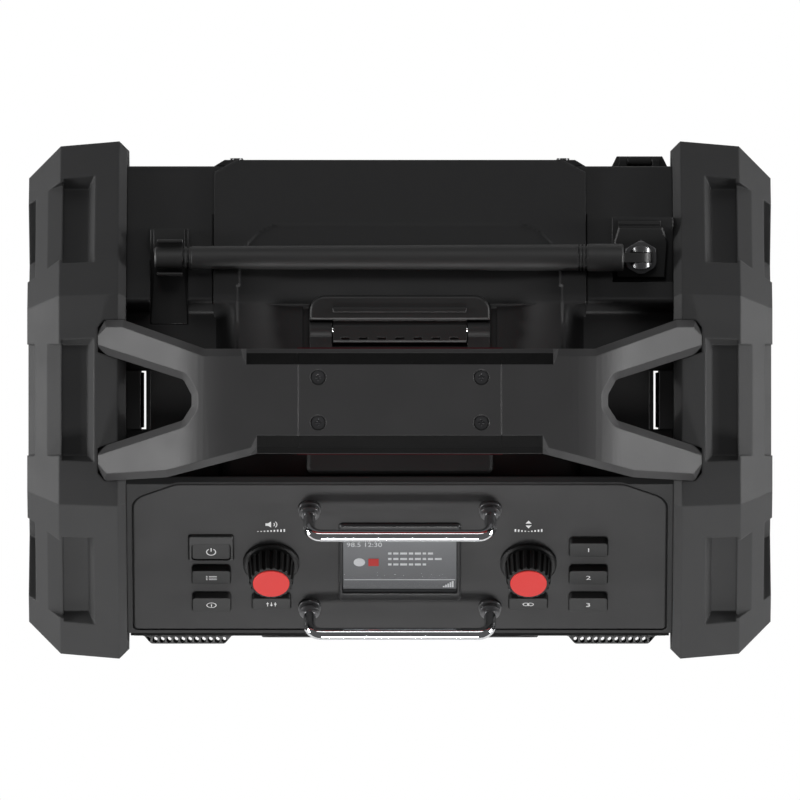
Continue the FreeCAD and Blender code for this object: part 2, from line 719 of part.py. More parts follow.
def rear_housing():
    outer = rear_outer()
    for x0, x1, y0, y1, floor in platform_boxes():
        block = box(x0, x1, REAR_CREST_Y + WALL, y1, slope_z(y1) - WALL, floor)
        outer = outer.fuse(block)
    shell = outer.cut(rear_inner())
    for x0, x1, y0, y1, floor in platform_boxes():
        shell = shell.cut(box(x0, x1, y0, y1, floor, REAR_CREST_Z + CUT_OVER))
    half = COVER_HALF_X
    tub_rear = HOLLOW_PLAN[0][1] + HOLLOW_WALL
    shell = shell.cut(box(-half, half, REAR_CREST_Y - 1, tub_rear, TUB_LOW_Z, REAR_CREST_Z + CUT_OVER))
    for side in (-1, 1):
        y = SIDE_SLOT_HALF_Y
        slot = box(side * SIDE_SLOT_X, side * (BODY_HALF_X + 1), -y, y, 0, REAR_CREST_Z)
        shell = shell.cut(slot)
    x = TRAY_HALF_X
    shell = shell.cut(box(-x, x, TRAY_FRONT_Y, TRAY_REAR_Y, VALLEY_Z - 2 * WALL, SADDLE_Z + CUT_OVER))
    hx = INLET_HALF[0]
    hz = INLET_HALF[1]
    hole = box(INLET_X - hx, INLET_X + hx, BODY_REAR_Y - WALL - 1, BODY_REAR_Y + 1, INLET_Z - hz, INLET_Z + hz)
    shell = shell.cut(hole)
    for x, z in MAIN_BOARD_PILLARS:
        shell = shell.fuse(rod(POST_R, (x, MAIN_BOARD_Y + BOARD_THICK, z), (x, BODY_REAR_Y - 1, z)))
    shell = shell.cut(tongue_block(FREE, REAR_CREST_Z + CUT_OVER))
    for place in cover_screw_places():
        shell = shell.cut(cover_screw(place))
    return inlet_lugs(shell)


def inlet_lugs(shell):
    inside = CAP_KNUCKLE_HALF + FREE
    for a, b in ((-CAP_LUG_HALF, -inside), (inside, CAP_LUG_HALF)):
        lug = rod(CAP_KNUCKLE_R, (INLET_X + a, CAP_PIN_Y, CAP_PIN_Z), (INLET_X + b, CAP_PIN_Y, CAP_PIN_Z))
        low = CAP_PIN_Z - CAP_KNUCKLE_R
        high = CAP_PIN_Z + CAP_KNUCKLE_R
        root = box(INLET_X + a, INLET_X + b, BODY_REAR_Y - 1, CAP_PIN_Y, low, high)
        shell = shell.fuse(lug).fuse(root)
    ends = CAP_LUG_HALF + 1
    a = (INLET_X - ends, CAP_PIN_Y, CAP_PIN_Z)
    b = (INLET_X + ends, CAP_PIN_Y, CAP_PIN_Z)
    return shell.cut(rod(CAP_PIN_R, a, b))


def hollow_cutter():
    rear = [(-x, y) for x, y in HOLLOW_PLAN]
    points = HOLLOW_PLAN[::-1] + rear
    cutter = prism_z(points, HOLLOW_FLOOR_Z, REAR_CREST_Z + 3 * CUT_OVER)
    cutter = cutter.makeFillet(HOLLOW_ROUND / 2, edges_along(cutter, (0, 0, 1)))
    floor = edges_where(cutter, lambda p: near(p.z, HOLLOW_FLOOR_Z))
    return cutter.makeFillet(HOLLOW_ROUND, floor)


def rear_cover():
    t = COVER_THICK
    half = COVER_HALF_X - SEAM
    outer = [
        (BODY_REAR_Y, COVER_LOW_Z),
        (BODY_REAR_Y + t, COVER_LOW_Z + t),
        (BODY_REAR_Y + t, REAR_LOW_CREST_Z + t / 2),
        (REAR_CREST_Y + t / 2, REAR_CREST_Z + t),
        (REAR_CREST_Y, REAR_CREST_Z + t),
        (REAR_CREST_Y, REAR_CREST_Z),
        (BODY_REAR_Y, REAR_LOW_CREST_Z),
    ]
    shape = prism_x(outer, -half, half)
    tub_rear = HOLLOW_PLAN[0][1] + HOLLOW_WALL - SEAM
    tub = box(-half, half, REAR_CREST_Y, tub_rear, TUB_LOW_Z, REAR_CREST_Z)
    over = [(REAR_CREST_Y - 1, REAR_CREST_Z), (tub_rear + 1, slope_z(tub_rear + 1))]
    over += [(tub_rear + 1, REAR_CREST_Z + CUT_OVER), (REAR_CREST_Y - 1, REAR_CREST_Z + CUT_OVER)]
    tub = tub.cut(prism_x(over, -half - 1, half + 1))
    shape = shape.fuse(tub).removeSplitter()
    for side in (-1, 1):
        x = side * half
        corner = [(x, BODY_REAR_Y), (x, BODY_REAR_Y + 2 * t), (x - side * COVER_CORNER * 2, BODY_REAR_Y + 2 * t)]
        shape = shape.cut(prism_z(corner, 0, REAR_LOW_CREST_Z))
    shape = shape.cut(hollow_cutter())
    shape = shape.cut(rod(ROD_RELIEF_R, (-half - 1, ROD_Y, ROD_Z), (half + 1, ROD_Y, ROD_Z)))
    shape = shape.cut(tongue_block(FREE, REAR_CREST_Z + CUT_OVER))
    for place in cover_screw_places():
        shape = shape.cut(cover_screw(place))
    return shape


def cover_screw_places():
    return [(x, z) for x in (-COVER_SCREW_X, COVER_SCREW_X) for z in COVER_SCREW_ZS]


def cover_screw(place):
    x, z = place
    face = BODY_REAR_Y + COVER_THICK
    head = rod(SCREW_HEAD_R, (x, face - SCREW_HEAD_HIGH, z), (x, face + SCREW_HEAD_HIGH, z))
    shank = rod(SCREW_SHANK_R, (x, face - SCREW_LONG, z), (x, face, z))
    return head.fuse(shank)


def cover_screws():
    return Part.makeCompound([one_solid(cover_screw(p)) for p in cover_screw_places()])


# Front grille, trim and speakers

def dome(x, grow):
    base = DOME_HALF + grow
    tip = DOME_TOP_HALF + grow
    face = BODY_FRONT_Y - GRILLE_THICK
    rings = []
    for half, y in ((base, face), (tip, face - DOME_PROUD)):
        low = GRILLE_LOW_Z + 2 * DOME_CORNER + DOME_HALF - half
        high = GRILLE_HIGH_Z - 2 * DOME_CORNER - DOME_HALF + half
        corners = [(x - half, y, low), (x + half, y, low), (x + half, y, high), (x - half, y, high)]
        rings.append(Part.makePolygon([V(*c) for c in corners + corners[:1]]))
    return Part.makeLoft(rings, True, True)


def front_grille():
    face = BODY_FRONT_Y
    sheet = box(-GRILLE_HALF_X, GRILLE_HALF_X, face - GRILLE_THICK, face, GRILLE_LOW_Z, GRILLE_HIGH_Z)
    sheet = sheet.makeFillet(DOME_CORNER, edges_along(sheet, (0, 1, 0)))
    for x in (-DOME_X, DOME_X):
        sheet = sheet.fuse(dome(x, 0))
        hollow = dome(x, -GRILLE_THICK)
        sheet = sheet.cut(moved(hollow, 0, GRILLE_THICK, 0))
    return sheet


def grille_trim():
    face = BODY_FRONT_Y - GRILLE_THICK
    half = TRIM_HALF_X
    plate = box(-half, half, face - TRIM_THICK, face, GRILLE_LOW_Z, GRILLE_HIGH_Z)
    plate = plate.makeFillet(TRIM_CORNER, edges_along(plate, (0, 1, 0)))
    front = edges_where(plate, lambda p: near(p.y, face - TRIM_THICK))
    plate = plate.makeChamfer(TRIM_THICK / 2, front)
    radius = WOOFER_FLANGE_R - WALL / 2
    start = (0, face - CUT_OVER, SPEAKER_Z)
    return plate.cut(rod(radius, start, (0, face + CUT_OVER, SPEAKER_Z)))


def speaker(x, flange_r, hole_r, deep):
    back = BODY_FRONT_Y + WALL
    magnet = flange_r * MAGNET_SHARE
    cone = hole_r * CONE_SHARE
    profile = [
        (0, deep),
        (magnet, deep),
        (magnet, deep * MAGNET_SHARE),
        (flange_r * CONE_SHARE, FLANGE_THICK * 2),
        (flange_r * CONE_SHARE, FLANGE_THICK),
        (flange_r, FLANGE_THICK),
        (flange_r, 0),
        (hole_r, 0),
        (cone, FLANGE_THICK / 2),
        (magnet / 2, deep / 3),
        (0, deep / 4),
    ]
    flat = face_of([(r, y, 0) for r, y in profile])
    solid = flat.revolve(V(0, 0, 0), V(0, 1, 0), 360)
    return moved(solid, x, back, SPEAKER_Z)


# End guards

def guard_ring(x, inset):
    slide = inset * (math.sqrt(2) - 1)
    half = GUARD_HALF_Y - inset
    top = GUARD_TOP_Z - inset
    low = GUARD_LOW_Z + inset
    top_y = GUARD_HALF_Y - GUARD_TOP_CUT - slide
    top_z = GUARD_TOP_Z - GUARD_TOP_CUT - slide
    low_y = GUARD_HALF_Y - GUARD_LOW_CUT - slide
    low_z = GUARD_LOW_Z + GUARD_LOW_CUT + slide
    right = [(low_y, low), (half, low_z), (half, top_z), (top_y, top)]
    left = [(-y, z) for y, z in right[::-1]]
    ring = [V(x, y, z) for y, z in right + left]
    return Part.makePolygon(ring + ring[:1])


def guard_outer():
    stations = [
        (BODY_HALF_X, GUARD_INNER_CHAMFER),
        (GUARD_CREST_X, 0),
        (GUARD_SHOULDER_X, GUARD_DRAFT),
        (GUARD_OUT_X, GUARD_DRAFT + GUARD_CHAMFER),
    ]
    return Part.makeLoft([guard_ring(x, inset) for x, inset in stations], True, True)


def guard_cavity():
    stations = [
        (BODY_HALF_X - 1, GUARD_SKIN),
        (GUARD_SHOULDER_X - GUARD_CHAMFER, GUARD_SKIN + GUARD_DRAFT),
        (GUARD_OUT_X - GUARD_SKIN, GUARD_SKIN + GUARD_CHAMFER),
    ]
    cavity = Part.makeLoft([guard_ring(x, inset) for x, inset in stations], True, True)
    y = HANDLE_REAR[1][1] + WALL
    socket = box(BODY_HALF_X - 1, HANDLE_FOOT_X + WALL, -y, y, HANDLE_FOOT_LOW_Z - WALL, GUARD_TOP_Z)
    cavity = cavity.cut(socket)
    for y, z in BOLT_PLACES:
        cavity = cavity.cut(rod(BOSS_R, (BODY_HALF_X - 1, y, z), (GUARD_OUT_X, y, z)))
    return cavity


def tapered(low_half, high_half, x_low, x_high, z_low, z_high):
    rings = []
    for half, xs, z in ((low_half, x_low, z_low), (high_half, x_high, z_high)):
        corners = [(xs[0], -half, z), (xs[1], -half, z), (xs[1], half, z), (xs[0], half, z)]
        rings.append(Part.makePolygon([V(*c) for c in corners + corners[:1]]))
    return Part.makeLoft(rings, True, True)


def guard_pocket():
    top = GUARD_TOP_Z + 1
    low = GUARD_TOP_Z - POCKET_DEEP
    narrow = POCKET_HALF - POCKET_TAPER
    wide_x = (POCKET_IN_X, POCKET_OUT_X)
    low_x = (POCKET_IN_X + POCKET_TAPER, POCKET_OUT_X)
    pocket = tapered(narrow, POCKET_HALF, low_x, wide_x, low, top)
    out = GUARD_OUT_X + 1
    floor_x = GUARD_OUT_X - CHANNEL_DEEP
    end_z = GUARD_TOP_Z - GUARD_DRAFT - GUARD_CHAMFER - CHANNEL_LONG
    slot = [(out, end_z - CHANNEL_DEEP), (floor_x, end_z), (floor_x, low - CHANNEL_DEEP)]
    lip = POCKET_OUT_X - POCKET_TAPER / 2
    slot += [(lip, low + POCKET_DEEP / 2), (lip, top), (out, top)]
    channel = prism_y(slot, -narrow, narrow)
    return pocket.fuse(channel)


def guard_pockets():
    centre = V(0, 0, GUARD_TOP_Z)
    slope_y = GUARD_HALF_Y - GUARD_TOP_CUT / 2
    slope_z_mid = GUARD_TOP_Z - GUARD_TOP_CUT / 2
    pockets = [guard_pocket()]
    for side in (-1, 1):
        turned = guard_pocket()
        turned.rotate(centre, V(1, 0, 0), -side * PANEL_TILT)
        turned.translate(V(0, side * slope_y, slope_z_mid - GUARD_TOP_Z))
        pockets.append(turned)
    return pockets


def guard():
    shape = guard_outer().cut(guard_cavity())
    for pocket in guard_pockets():
        shape = shape.cut(pocket)
    rib_out = GUARD_OUT_X - GUARD_SKIN + 1
    shape = shape.fuse(box(RIB_IN_X, rib_out, -RIB_HALF_Y, RIB_HALF_Y, RIB_LOW_Z, RIB_HIGH_Z))
    for y, z in BOLT_PLACES:
        shape = shape.cut(rod(BOLT_WELL_R, (BOLT_SEAT_X, y, z), (GUARD_OUT_X + 1, y, z)))
        shape = shape.cut(rod(BOLT_SHANK_R, (BODY_HALF_X - 1, y, z), (BOLT_SEAT_X + 1, y, z)))
    for foot in feet_of_guard():
        shape = shape.cut(foot)
    return shape.cut(handle_solid())


def feet_of_guard():
    feet = []
    for y in (-FOOT_Y, FOOT_Y):
        x = FOOT_WIDE / 2
        half = FOOT_LONG / 2
        top = GUARD_LOW_Z + FOOT_SUNK
        foot = box(FOOT_X - x, FOOT_X + x, y - half, y + half, 0, top)
        foot = foot.makeFillet(FOOT_EDGE * 2, edges_along(foot, (0, 0, 1)))
        foot = foot.makeChamfer(FOOT_EDGE, edges_where(foot, lambda p: near(p.z, 0)))
        feet.append(foot)
    return feet


def guard_feet():
    right = feet_of_guard()
    return Part.makeCompound(right + [mirrored(f) for f in feet_of_guard()])


def guard_bolts():
    bolts = []
    for y, z in BOLT_PLACES:
        head_end = BOLT_SEAT_X + BOLT_HEAD_HIGH
        head = rod(BOLT_HEAD_R, (BOLT_SEAT_X, y, z), (head_end, y, z))
        socket = Part.makePolygon([hex_point(BOLT_HEX_R, i, head_end, y, z) for i in range(7)])
        key = Part.Face(socket).extrude(V(-BOLT_HEAD_HIGH / 2, 0, 0))
        shank = rod(BOLT_SHANK_R, (BODY_HALF_X, y, z), (BOLT_SEAT_X, y, z))
        bolts.append(one_solid(head.fuse(shank).cut(key)))
    return Part.makeCompound(bolts + [mirrored(b) for b in bolts])


def hex_point(radius, index, x, y, z):
    turn = index * math.pi / 3
    return V(x, y + radius * math.cos(turn), z + radius * math.sin(turn))


# Handle

def handle_side():
    rise = HANDLE_TOP_Z - GUARD_TOP_Z
    under = HANDLE_TOP_Z - HANDLE_THICK
    offset = HANDLE_ARM_THICK * math.sqrt(2)
    under_x = HANDLE_FOOT_X + GUARD_TOP_Z - offset
    half = [
        (HANDLE_FOOT_X, HANDLE_FOOT_LOW_Z),
        (HANDLE_FOOT_X, GUARD_TOP_Z),
        (HANDLE_FOOT_X - rise, HANDLE_TOP_Z),
    ]
    low = [(under_x - under, under), (under_x - HANDLE_FOOT_LOW_Z, HANDLE_FOOT_LOW_Z)]
    top = half + [(-x, z) for x, z in half[::-1]]
    bottom = [(-x, z) for x, z in low[::-1]] + low
    y = BODY_HALF_X
    shape = prism_y(top + bottom, -y, y)
    bend = edges_where(shape, lambda p: near(p.z, HANDLE_TOP_Z) and near(abs(p.x), HANDLE_FOOT_X - rise))
    shape = shape.makeFillet(HANDLE_BEND_R, bend)
    inner = edges_where(shape, lambda p: near(p.z, under) and near(abs(p.x), under_x - under))
    return shape.makeFillet(HANDLE_UNDER_R, inner)


def handle_plan():
    right = HANDLE_REAR[::-1][1:] + []
    left = [(-x, y) for x, y in HANDLE_REAR[:-1]]
    rear = left + right
    low = [p for p in HANDLE_FRONT[1:]][::-1]
    front = low + [(-x, y) for x, y in HANDLE_FRONT[1:]]
    plan = prism_z(rear + front, 0, HANDLE_TOP_Z + CUT_OVER)
    hole = prism_z(FORK_OPENING, -1, HANDLE_TOP_Z + 2 * CUT_OVER)
    nose = [e for e in edges_along(hole, (0, 0, 1)) if e.CenterOfMass.x < FORK_OPENING[1][0] + 1]
    hole = hole.makeFillet(FORK_NOSE_R / 2, nose)
    return plan.cut(hole).cut(mirrored(hole))


def handle_solid():
    solid = handle_side().common(handle_plan())
    return one_solid(solid)


def handle_bevelled():
    solid = handle_solid()
    tops = []
    wedges = []
    for edge in solid.Edges:
        faces = solid.ancestorsOfType(edge, Part.Face)
        ups = [f for f in faces if face_up(f)]
        sides = [f for f in faces if face_level(f)]
        middle = edge.CenterOfMass
        if len(ups) != 1 or len(sides) != 1 or abs(middle.x) > HANDLE_FOOT_X - RUN_FIT:
            continue
        if middle.y < HANDLE_FRONT[2][1] and edge.Length > GRIP_HALF_X / 2:
            wedges.append(edge_wedge(edge, face_normal(ups[0]), face_normal(sides[0])))
        else:
            tops.append(edge)
    tops.sort(key=lambda e: -e.Length)
    solid = solid.makeChamfer(HANDLE_EDGE, tops)
    for wedge in wedges:
        solid = solid.cut(wedge)
    return solid


def edge_wedge(edge, up, side):
    a = edge.Vertexes[0].Point
    b = edge.Vertexes[1].Point
    along = b - a
    along.normalize()
    over = side.cross(along)
    inward = up.cross(along)
    over = over if over.z < 0 else over.negative()
    inward = inward if inward.dot(side) < 0 else inward.negative()
    start = a - along * HANDLE_EDGE
    low = start + over * HANDLE_EDGE
    top = start + inward * HANDLE_EDGE
    out = start + (side + up) * HANDLE_EDGE
    ring = Part.makePolygon([low, top, top + up * HANDLE_EDGE, out, low + side * HANDLE_EDGE, low])
    return Part.Face(ring).extrude(b - a + along * (2 * HANDLE_EDGE))


def face_normal(face):
    span = face.ParameterRange
    return face.normalAt((span[0] + span[1]) / 2, (span[2] + span[3]) / 2)


def face_up(face):
    return face_normal(face).z > 1 / 2


def face_level(face):
    return abs(face_normal(face).z) < 1 / 100


def handle_parts():
    whole = handle_bevelled()
    x = GRIP_HALF_X
    y = BODY_HALF_X
    top_box = box(-x, x, -y, y, GRIP_SPLIT_Z, HANDLE_TOP_Z + 1)
    under = box(-UNDER_HALF_X, UNDER_HALF_X, -y, y, HANDLE_TOP_Z - HANDLE_THICK - 1, UNDER_SPLIT_Z)
    frame = whole.cut(top_box).cut(under)
    cover = whole.common(box(SEAM - x, x - SEAM, -y, y, GRIP_SPLIT_Z, HANDLE_TOP_Z + 1))
    frame = frame.cut(box(-y, y, -y, HOUSING_SPLIT_Y, 0, RIM_TOP_Z))
    for place in handle_screw_places():
        screw = handle_screw(place)
        frame = frame.cut(screw)
        cover = cover.cut(screw)
        px, py = place
        well_z = HANDLE_TOP_Z - HANDLE_SCREW_WELL
        cover = cover.cut(rod(HANDLE_SCREW_WELL_R, (px, py, well_z), (px, py, HANDLE_TOP_Z + 1)))
    return frame, cover


def handle_screw_places():
    return [(x, y) for x in (-HANDLE_SCREW_X, HANDLE_SCREW_X) for y in (-HANDLE_SCREW_Y, HANDLE_SCREW_Y)]


def handle_screw(place):
    x, y = place
    top = HANDLE_TOP_Z - HANDLE_SCREW_WELL
    head_low = top - HANDLE_SCREW_R + SCREW_SHANK_R
    head = Part.makeCone(SCREW_SHANK_R, HANDLE_SCREW_R, top - head_low, V(x, y, head_low))
    shank = rod(SCREW_SHANK_R, (x, y, top - HANDLE_SCREW_LONG), (x, y, head_low))
    return head.fuse(shank)


def handle_screws():
    screws = []
    for place in handle_screw_places():
        x, y = place
        top = HANDLE_TOP_Z - HANDLE_SCREW_WELL
        drive = round_plate((SCREW_SHANK_R * 2, 1), top - 1, top + 1, 1 / 3)
        across = drive.copy()
        across.rotate(V(0, 0, 0), V(0, 0, 1), 90)
        cross = moved(drive.fuse(across), x, y, 0)
        screws.append(one_solid(handle_screw(place).cut(cross)))
    return Part.makeCompound(screws)


def grip_underside():
    low = HANDLE_TOP_Z - HANDLE_THICK
    half = UNDER_HALF_Y
    foot = UNDER_FOOT_HALF_Y
    mid = UNDER_SPLIT_Z - (UNDER_SPLIT_Z - low) / 2
    points = [(half, UNDER_SPLIT_Z), (half, mid), (foot, low), (-foot, low), (-half, mid), (-half, UNDER_SPLIT_Z)]
    points = [(y - UNDER_MID_Y, z) for y, z in points]
    x = UNDER_HALF_X - SEAM
    shell = prism_x(points, -x, x)
    return shell.makeFillet(WALL, edges_where(shell, lambda p: near(p.z, mid) or near(p.z, low)))


# Compartment, lid and hinge

def compartment_tray():
    x = TRAY_HALF_X
    top = SADDLE_Z
    low = top - TRAY_DEEP
    tray = box(-x, x, TRAY_FRONT_Y, TRAY_REAR_Y, low, top)
    w = TRAY_WALL
    inner = box(w - x, x - w, TRAY_FRONT_Y + w, TRAY_REAR_Y - w, low + w, top + 1)
    inner = inner.makeFillet(TRAY_LIP, edges_along(inner, (0, 0, 1)))
    return tray.cut(inner)


def compartment_lid():
    low = SADDLE_Z + LID_GAP
    top = low + LID_THICK
    front = LID_HALF_X
    rear = LID_REAR_HALF_X
    plan = [(-front, LID_FRONT_Y), (front, LID_FRONT_Y), (rear, LID_REAR_Y), (-rear, LID_REAR_Y)]
    lid = prism_z(plan, low, top)
    lid = lid.makeFillet(LID_EDGE * 2, edges_along(lid, (0, 0, 1)))
    lid = lid.makeChamfer(LID_EDGE, edges_where(lid, lambda p: near(p.z, top)))
    s = LID_SHELL
    hollow = [(s * 2 - rear, LID_FRONT_Y + s), (rear - s * 2, LID_FRONT_Y + s)]
    hollow += [(rear - s * 2, LID_REAR_Y - s), (s * 2 - rear, LID_REAR_Y - s)]
    lid = lid.cut(prism_z(hollow, low - 1, top - s))
    for side in (-1, 1):
        a = side * KNUCKLE_IN_X
        b = side * KNUCKLE_OUT_X
        lid = lid.fuse(rod(KNUCKLE_R, (a, HINGE_Y, HINGE_Z), (b, HINGE_Y, HINGE_Z)))
        lid = lid.fuse(box(a, b, LID_REAR_Y - s, HINGE_Y, low + s, HINGE_Z + KNUCKLE_R / 2))
    end = KNUCKLE_OUT_X + 1
    bore = rod(HINGE_PIN_R + RUN_FIT, (-end, HINGE_Y, HINGE_Z), (end, HINGE_Y, HINGE_Z))
    return lid.cut(bore)


def tongue_block(grow, top):
    x = TONGUE_HALF_X + grow
    rear_y = TONGUE_REAR_Y + grow
    tongue = box(-x, x, TONGUE_FRONT_Y - grow, rear_y, SADDLE_Z, top)
    rear = edges_where(tongue, lambda p: near(abs(p.x), x) and near(p.y, rear_y))
    return tongue.makeFillet(TONGUE_CORNER + grow, rear)


def hinge_cover():
    x = TONGUE_HALF_X
    tongue = tongue_block(0, TONGUE_TOP_Z)
    tongue = tongue.makeFillet(LID_EDGE, edges_where(tongue, lambda p: near(p.z, TONGUE_TOP_Z)))
    middle = MIDDLE_HALF_X
    top = HINGE_Z + KNUCKLE_R
    block = box(-middle, middle, MIDDLE_FRONT_Y, TONGUE_FRONT_Y + 1, SADDLE_Z, top)
    block = block.makeFillet(LID_EDGE, edges_where(block, lambda p: near(p.z, top) and near(p.y, MIDDLE_FRONT_Y)))
    shape = tongue.fuse(block)
    shape = shape.fuse(box(-middle, middle, RIB_Y[0], RIB_Y[1], TONGUE_TOP_Z - 1, TONGUE_TOP_Z + RIB_HIGH))
    shape = shape.cut(box(-middle, middle, HINGE_SLOT_Y[0], HINGE_SLOT_Y[1], top - HINGE_SLOT_DEEP, top + 1))
    for i in range(DASH_COUNT):
        dx = (i - (DASH_COUNT - 1) / 2) * DASH_STEP
        long = DASH_LONG / 2
        wide = DASH_WIDE / 2
        dash = box(dx - long, dx + long, DASH_Y - wide, DASH_Y + wide, top - DASH_DEEP, top + 1)
        shape = shape.cut(dash)
    bore = rod(HINGE_PIN_R, (-x - 1, HINGE_Y, HINGE_Z), (x + 1, HINGE_Y, HINGE_Z))
    return shape.cut(bore)


def lid_hinge_pin():
    end = KNUCKLE_OUT_X - LID_EDGE / 2
    return rod(HINGE_PIN_R, (-end, HINGE_Y, HINGE_Z), (end, HINGE_Y, HINGE_Z))


# Antenna

def antenna_rod():
    profile = [(TIP_X, 0), (TIP_X, TIP_R - 1), (TIP_X + 1, TIP_R), (TIP_SLEEVE_X, TIP_R)]
    for i in range(2):
        x = TIP_SLEEVE_X + i * GROOVE_STEP
        deep = TIP_R - GROOVE_DEEP
        profile += [(x, deep), (x + GROOVE_WIDE, deep), (x + GROOVE_WIDE, TIP_R), (x + GROOVE_STEP, TIP_R)]
    start = TIP_SLEEVE_X + 2 * GROOVE_STEP
    profile += [(start, ROD_TIP_R), (GROOVES_X, ROD_BASE_R)]
    step = (BARREL_X - GROOVES_X) / GROOVE_COUNT
    for i in range(GROOVE_COUNT):
        x = GROOVES_X + i * step
        low = ROD_BASE_R - GROOVE_DEEP
        profile += [(x, low), (x + step / 2, low), (x + step / 2, ROD_BASE_R), (x + step, ROD_BASE_R)]
    profile += [(BARREL_X, 0)]
    points = []
    for x, r in profile:
        if not points or points[-1] != (x, r):
            points.append((x, r))
    flat = face_of([(x, r, 0) for x, r in points])
    solid = flat.revolve(V(0, 0, 0), V(1, 0, 0), 360)
    return moved(solid, 0, ROD_Y, ROD_Z)


def antenna_barrel():
    barrel = rod(BARREL_R, (BARREL_X, ROD_Y, ROD_Z), (BARREL_END_X, ROD_Y, ROD_Z))
    ends = edges_where(barrel, lambda p: near(p.x, BARREL_END_X))
    barrel = barrel.makeFillet(GROOVE_WIDE, ends)
    a = ROD_Y - BLADE_HALF_Y
    b = ROD_Y + BLADE_HALF_Y
    blade = rod(BLADE_R, (FOLD_X, a, ROD_Z), (FOLD_X, b, ROD_Z))
    neck = box(BARREL_END_X - GROOVE_WIDE, FOLD_X, a, b, ROD_Z - BLADE_R, ROD_Z + BLADE_R)
    neck = neck.common(rod(BARREL_R, (BARREL_X, ROD_Y, ROD_Z), (FOLD_X, ROD_Y, ROD_Z)))
    shape = barrel.fuse(blade).fuse(neck)
    bore = rod(FORK_PIN_R + RUN_FIT, (FOLD_X, a - 1, ROD_Z), (FOLD_X, b + 1, ROD_Z))
    return shape.cut(bore)


def antenna_fork():
    foot_top = NUT_BASE_Z + NUT_HIGH
    low = NUT_BASE_Z
    foot = rod(FORK_FOOT_R, (FOLD_X, ROD_Y, low), (FOLD_X, ROD_Y, foot_top + 1))
    cheeks = rod(FORK_R, (FOLD_X, ROD_Y - FORK_HALF_Y, ROD_Z), (FOLD_X, ROD_Y + FORK_HALF_Y, ROD_Z))
    post = box(FOLD_X - FORK_R, FOLD_X + FORK_R, ROD_Y - FORK_HALF_Y, ROD_Y + FORK_HALF_Y, foot_top, ROD_Z)
    column = rod(FORK_FOOT_R, (FOLD_X, ROD_Y, low), (FOLD_X, ROD_Y, ROD_Z + 2 * FORK_R))
    shape = foot.fuse(cheeks.fuse(post).common(column))
    gap = BLADE_HALF_Y + FREE
    slot = rod(BLADE_R + 1, (FOLD_X, ROD_Y - gap, ROD_Z), (FOLD_X, ROD_Y + gap, ROD_Z))
    out = BARREL_X
    slot = slot.fuse(box(out, FOLD_X, ROD_Y - gap, ROD_Y + gap, ROD_Z - BLADE_R - 1, ROD_Z + 2 * BLADE_R))
    slot = slot.fuse(box(out, FOLD_X + 2 * FORK_R, ROD_Y - gap, ROD_Y + gap, ROD_Z, ROD_Z + 2 * BLADE_R))
    shape = shape.cut(slot)
    a = (FOLD_X, ROD_Y - FORK_HALF_Y - 1, ROD_Z)
    b = (FOLD_X, ROD_Y + FORK_HALF_Y + 1, ROD_Z)
    return shape.cut(rod(FORK_PIN_R, a, b))


def antenna_pin():
    a = (FOLD_X, ROD_Y - FORK_HALF_Y + FREE, ROD_Z)
    b = (FOLD_X, ROD_Y + FORK_HALF_Y - FREE, ROD_Z)
    return rod(FORK_PIN_R, a, b)


def antenna_nut():
    radius = NUT_FLATS / math.sqrt(3)
    ring = []
    for i in range(7):
        turn = (2 * i + 1) * math.pi / 6
        ring.append(V(FOLD_X + radius * math.cos(turn), ROD_Y + radius * math.sin(turn), NUT_BASE_Z))
    nut = Part.Face(Part.makePolygon(ring)).extrude(V(0, 0, NUT_HIGH))
    high = Part.makeCone(radius * 3 / 2, radius - 1, NUT_HIGH, V(FOLD_X, ROD_Y, NUT_BASE_Z))
    nut = nut.common(high)
    top = NUT_BASE_Z + NUT_HIGH + 1
    return nut.cut(rod(FORK_FOOT_R + RUN_FIT, (FOLD_X, ROD_Y, NUT_BASE_Z - 1), (FOLD_X, ROD_Y, top)))


def antenna_pedestal():
    low = PEDESTAL_TOP_Z - PEDESTAL_THICK
    plate = prism_z(PEDESTAL_PLAN, low, PEDESTAL_TOP_Z)
    plate = plate.makeChamfer(1, edges_where(plate, lambda p: near(p.z, PEDESTAL_TOP_Z)))
    x0, x1, y0, y1 = PEDESTAL_SILL
    sill = box(x0, x1, y0, y1, low, low + PEDESTAL_THICK / 2)
    root = box(x0, x1, PEDESTAL_Y[1] - 1, y1, low, low + PEDESTAL_THICK / 4)
    return plate.fuse(sill).fuse(root)


def antenna_clip():
    x0, x1 = CLIP_X
    y0, y1 = CLIP_Y
    low = CLIP_FLOOR_Z
    base_top = low + CLIP_BASE_THICK
    waist = CLIP_TAPER_Y
    t = CLIP_TAPER
    plan = [(x0, y0), (x1, y0), (x1 - t, waist), (x1 - t, y1), (x0 + t, y1), (x0 + t, waist)]
    base = prism_z(plan, low, base_top)
    base = base.makeFillet(CLIP_ROUND, [e for e in edges_along(base, (0, 0, 1)) if near(e.CenterOfMass.y, y0)])
    for y in CLIP_LIP_YS:
        half = CLIP_LIP_THICK / 2
        lip = box(CLIP_LIP_X[0], CLIP_LIP_X[1], y - half, y + half, low, CLIP_LIP_TOP_Z)
        top = edges_where(lip, lambda p: near(p.z, CLIP_LIP_TOP_Z))
        lip = lip.makeFillet(half * 4 / 5, [e for e in top if abs(e.CenterOfMass.y - y) > half / 2])
        base = base.fuse(lip)
    return base


# Power inlet and its weather cap

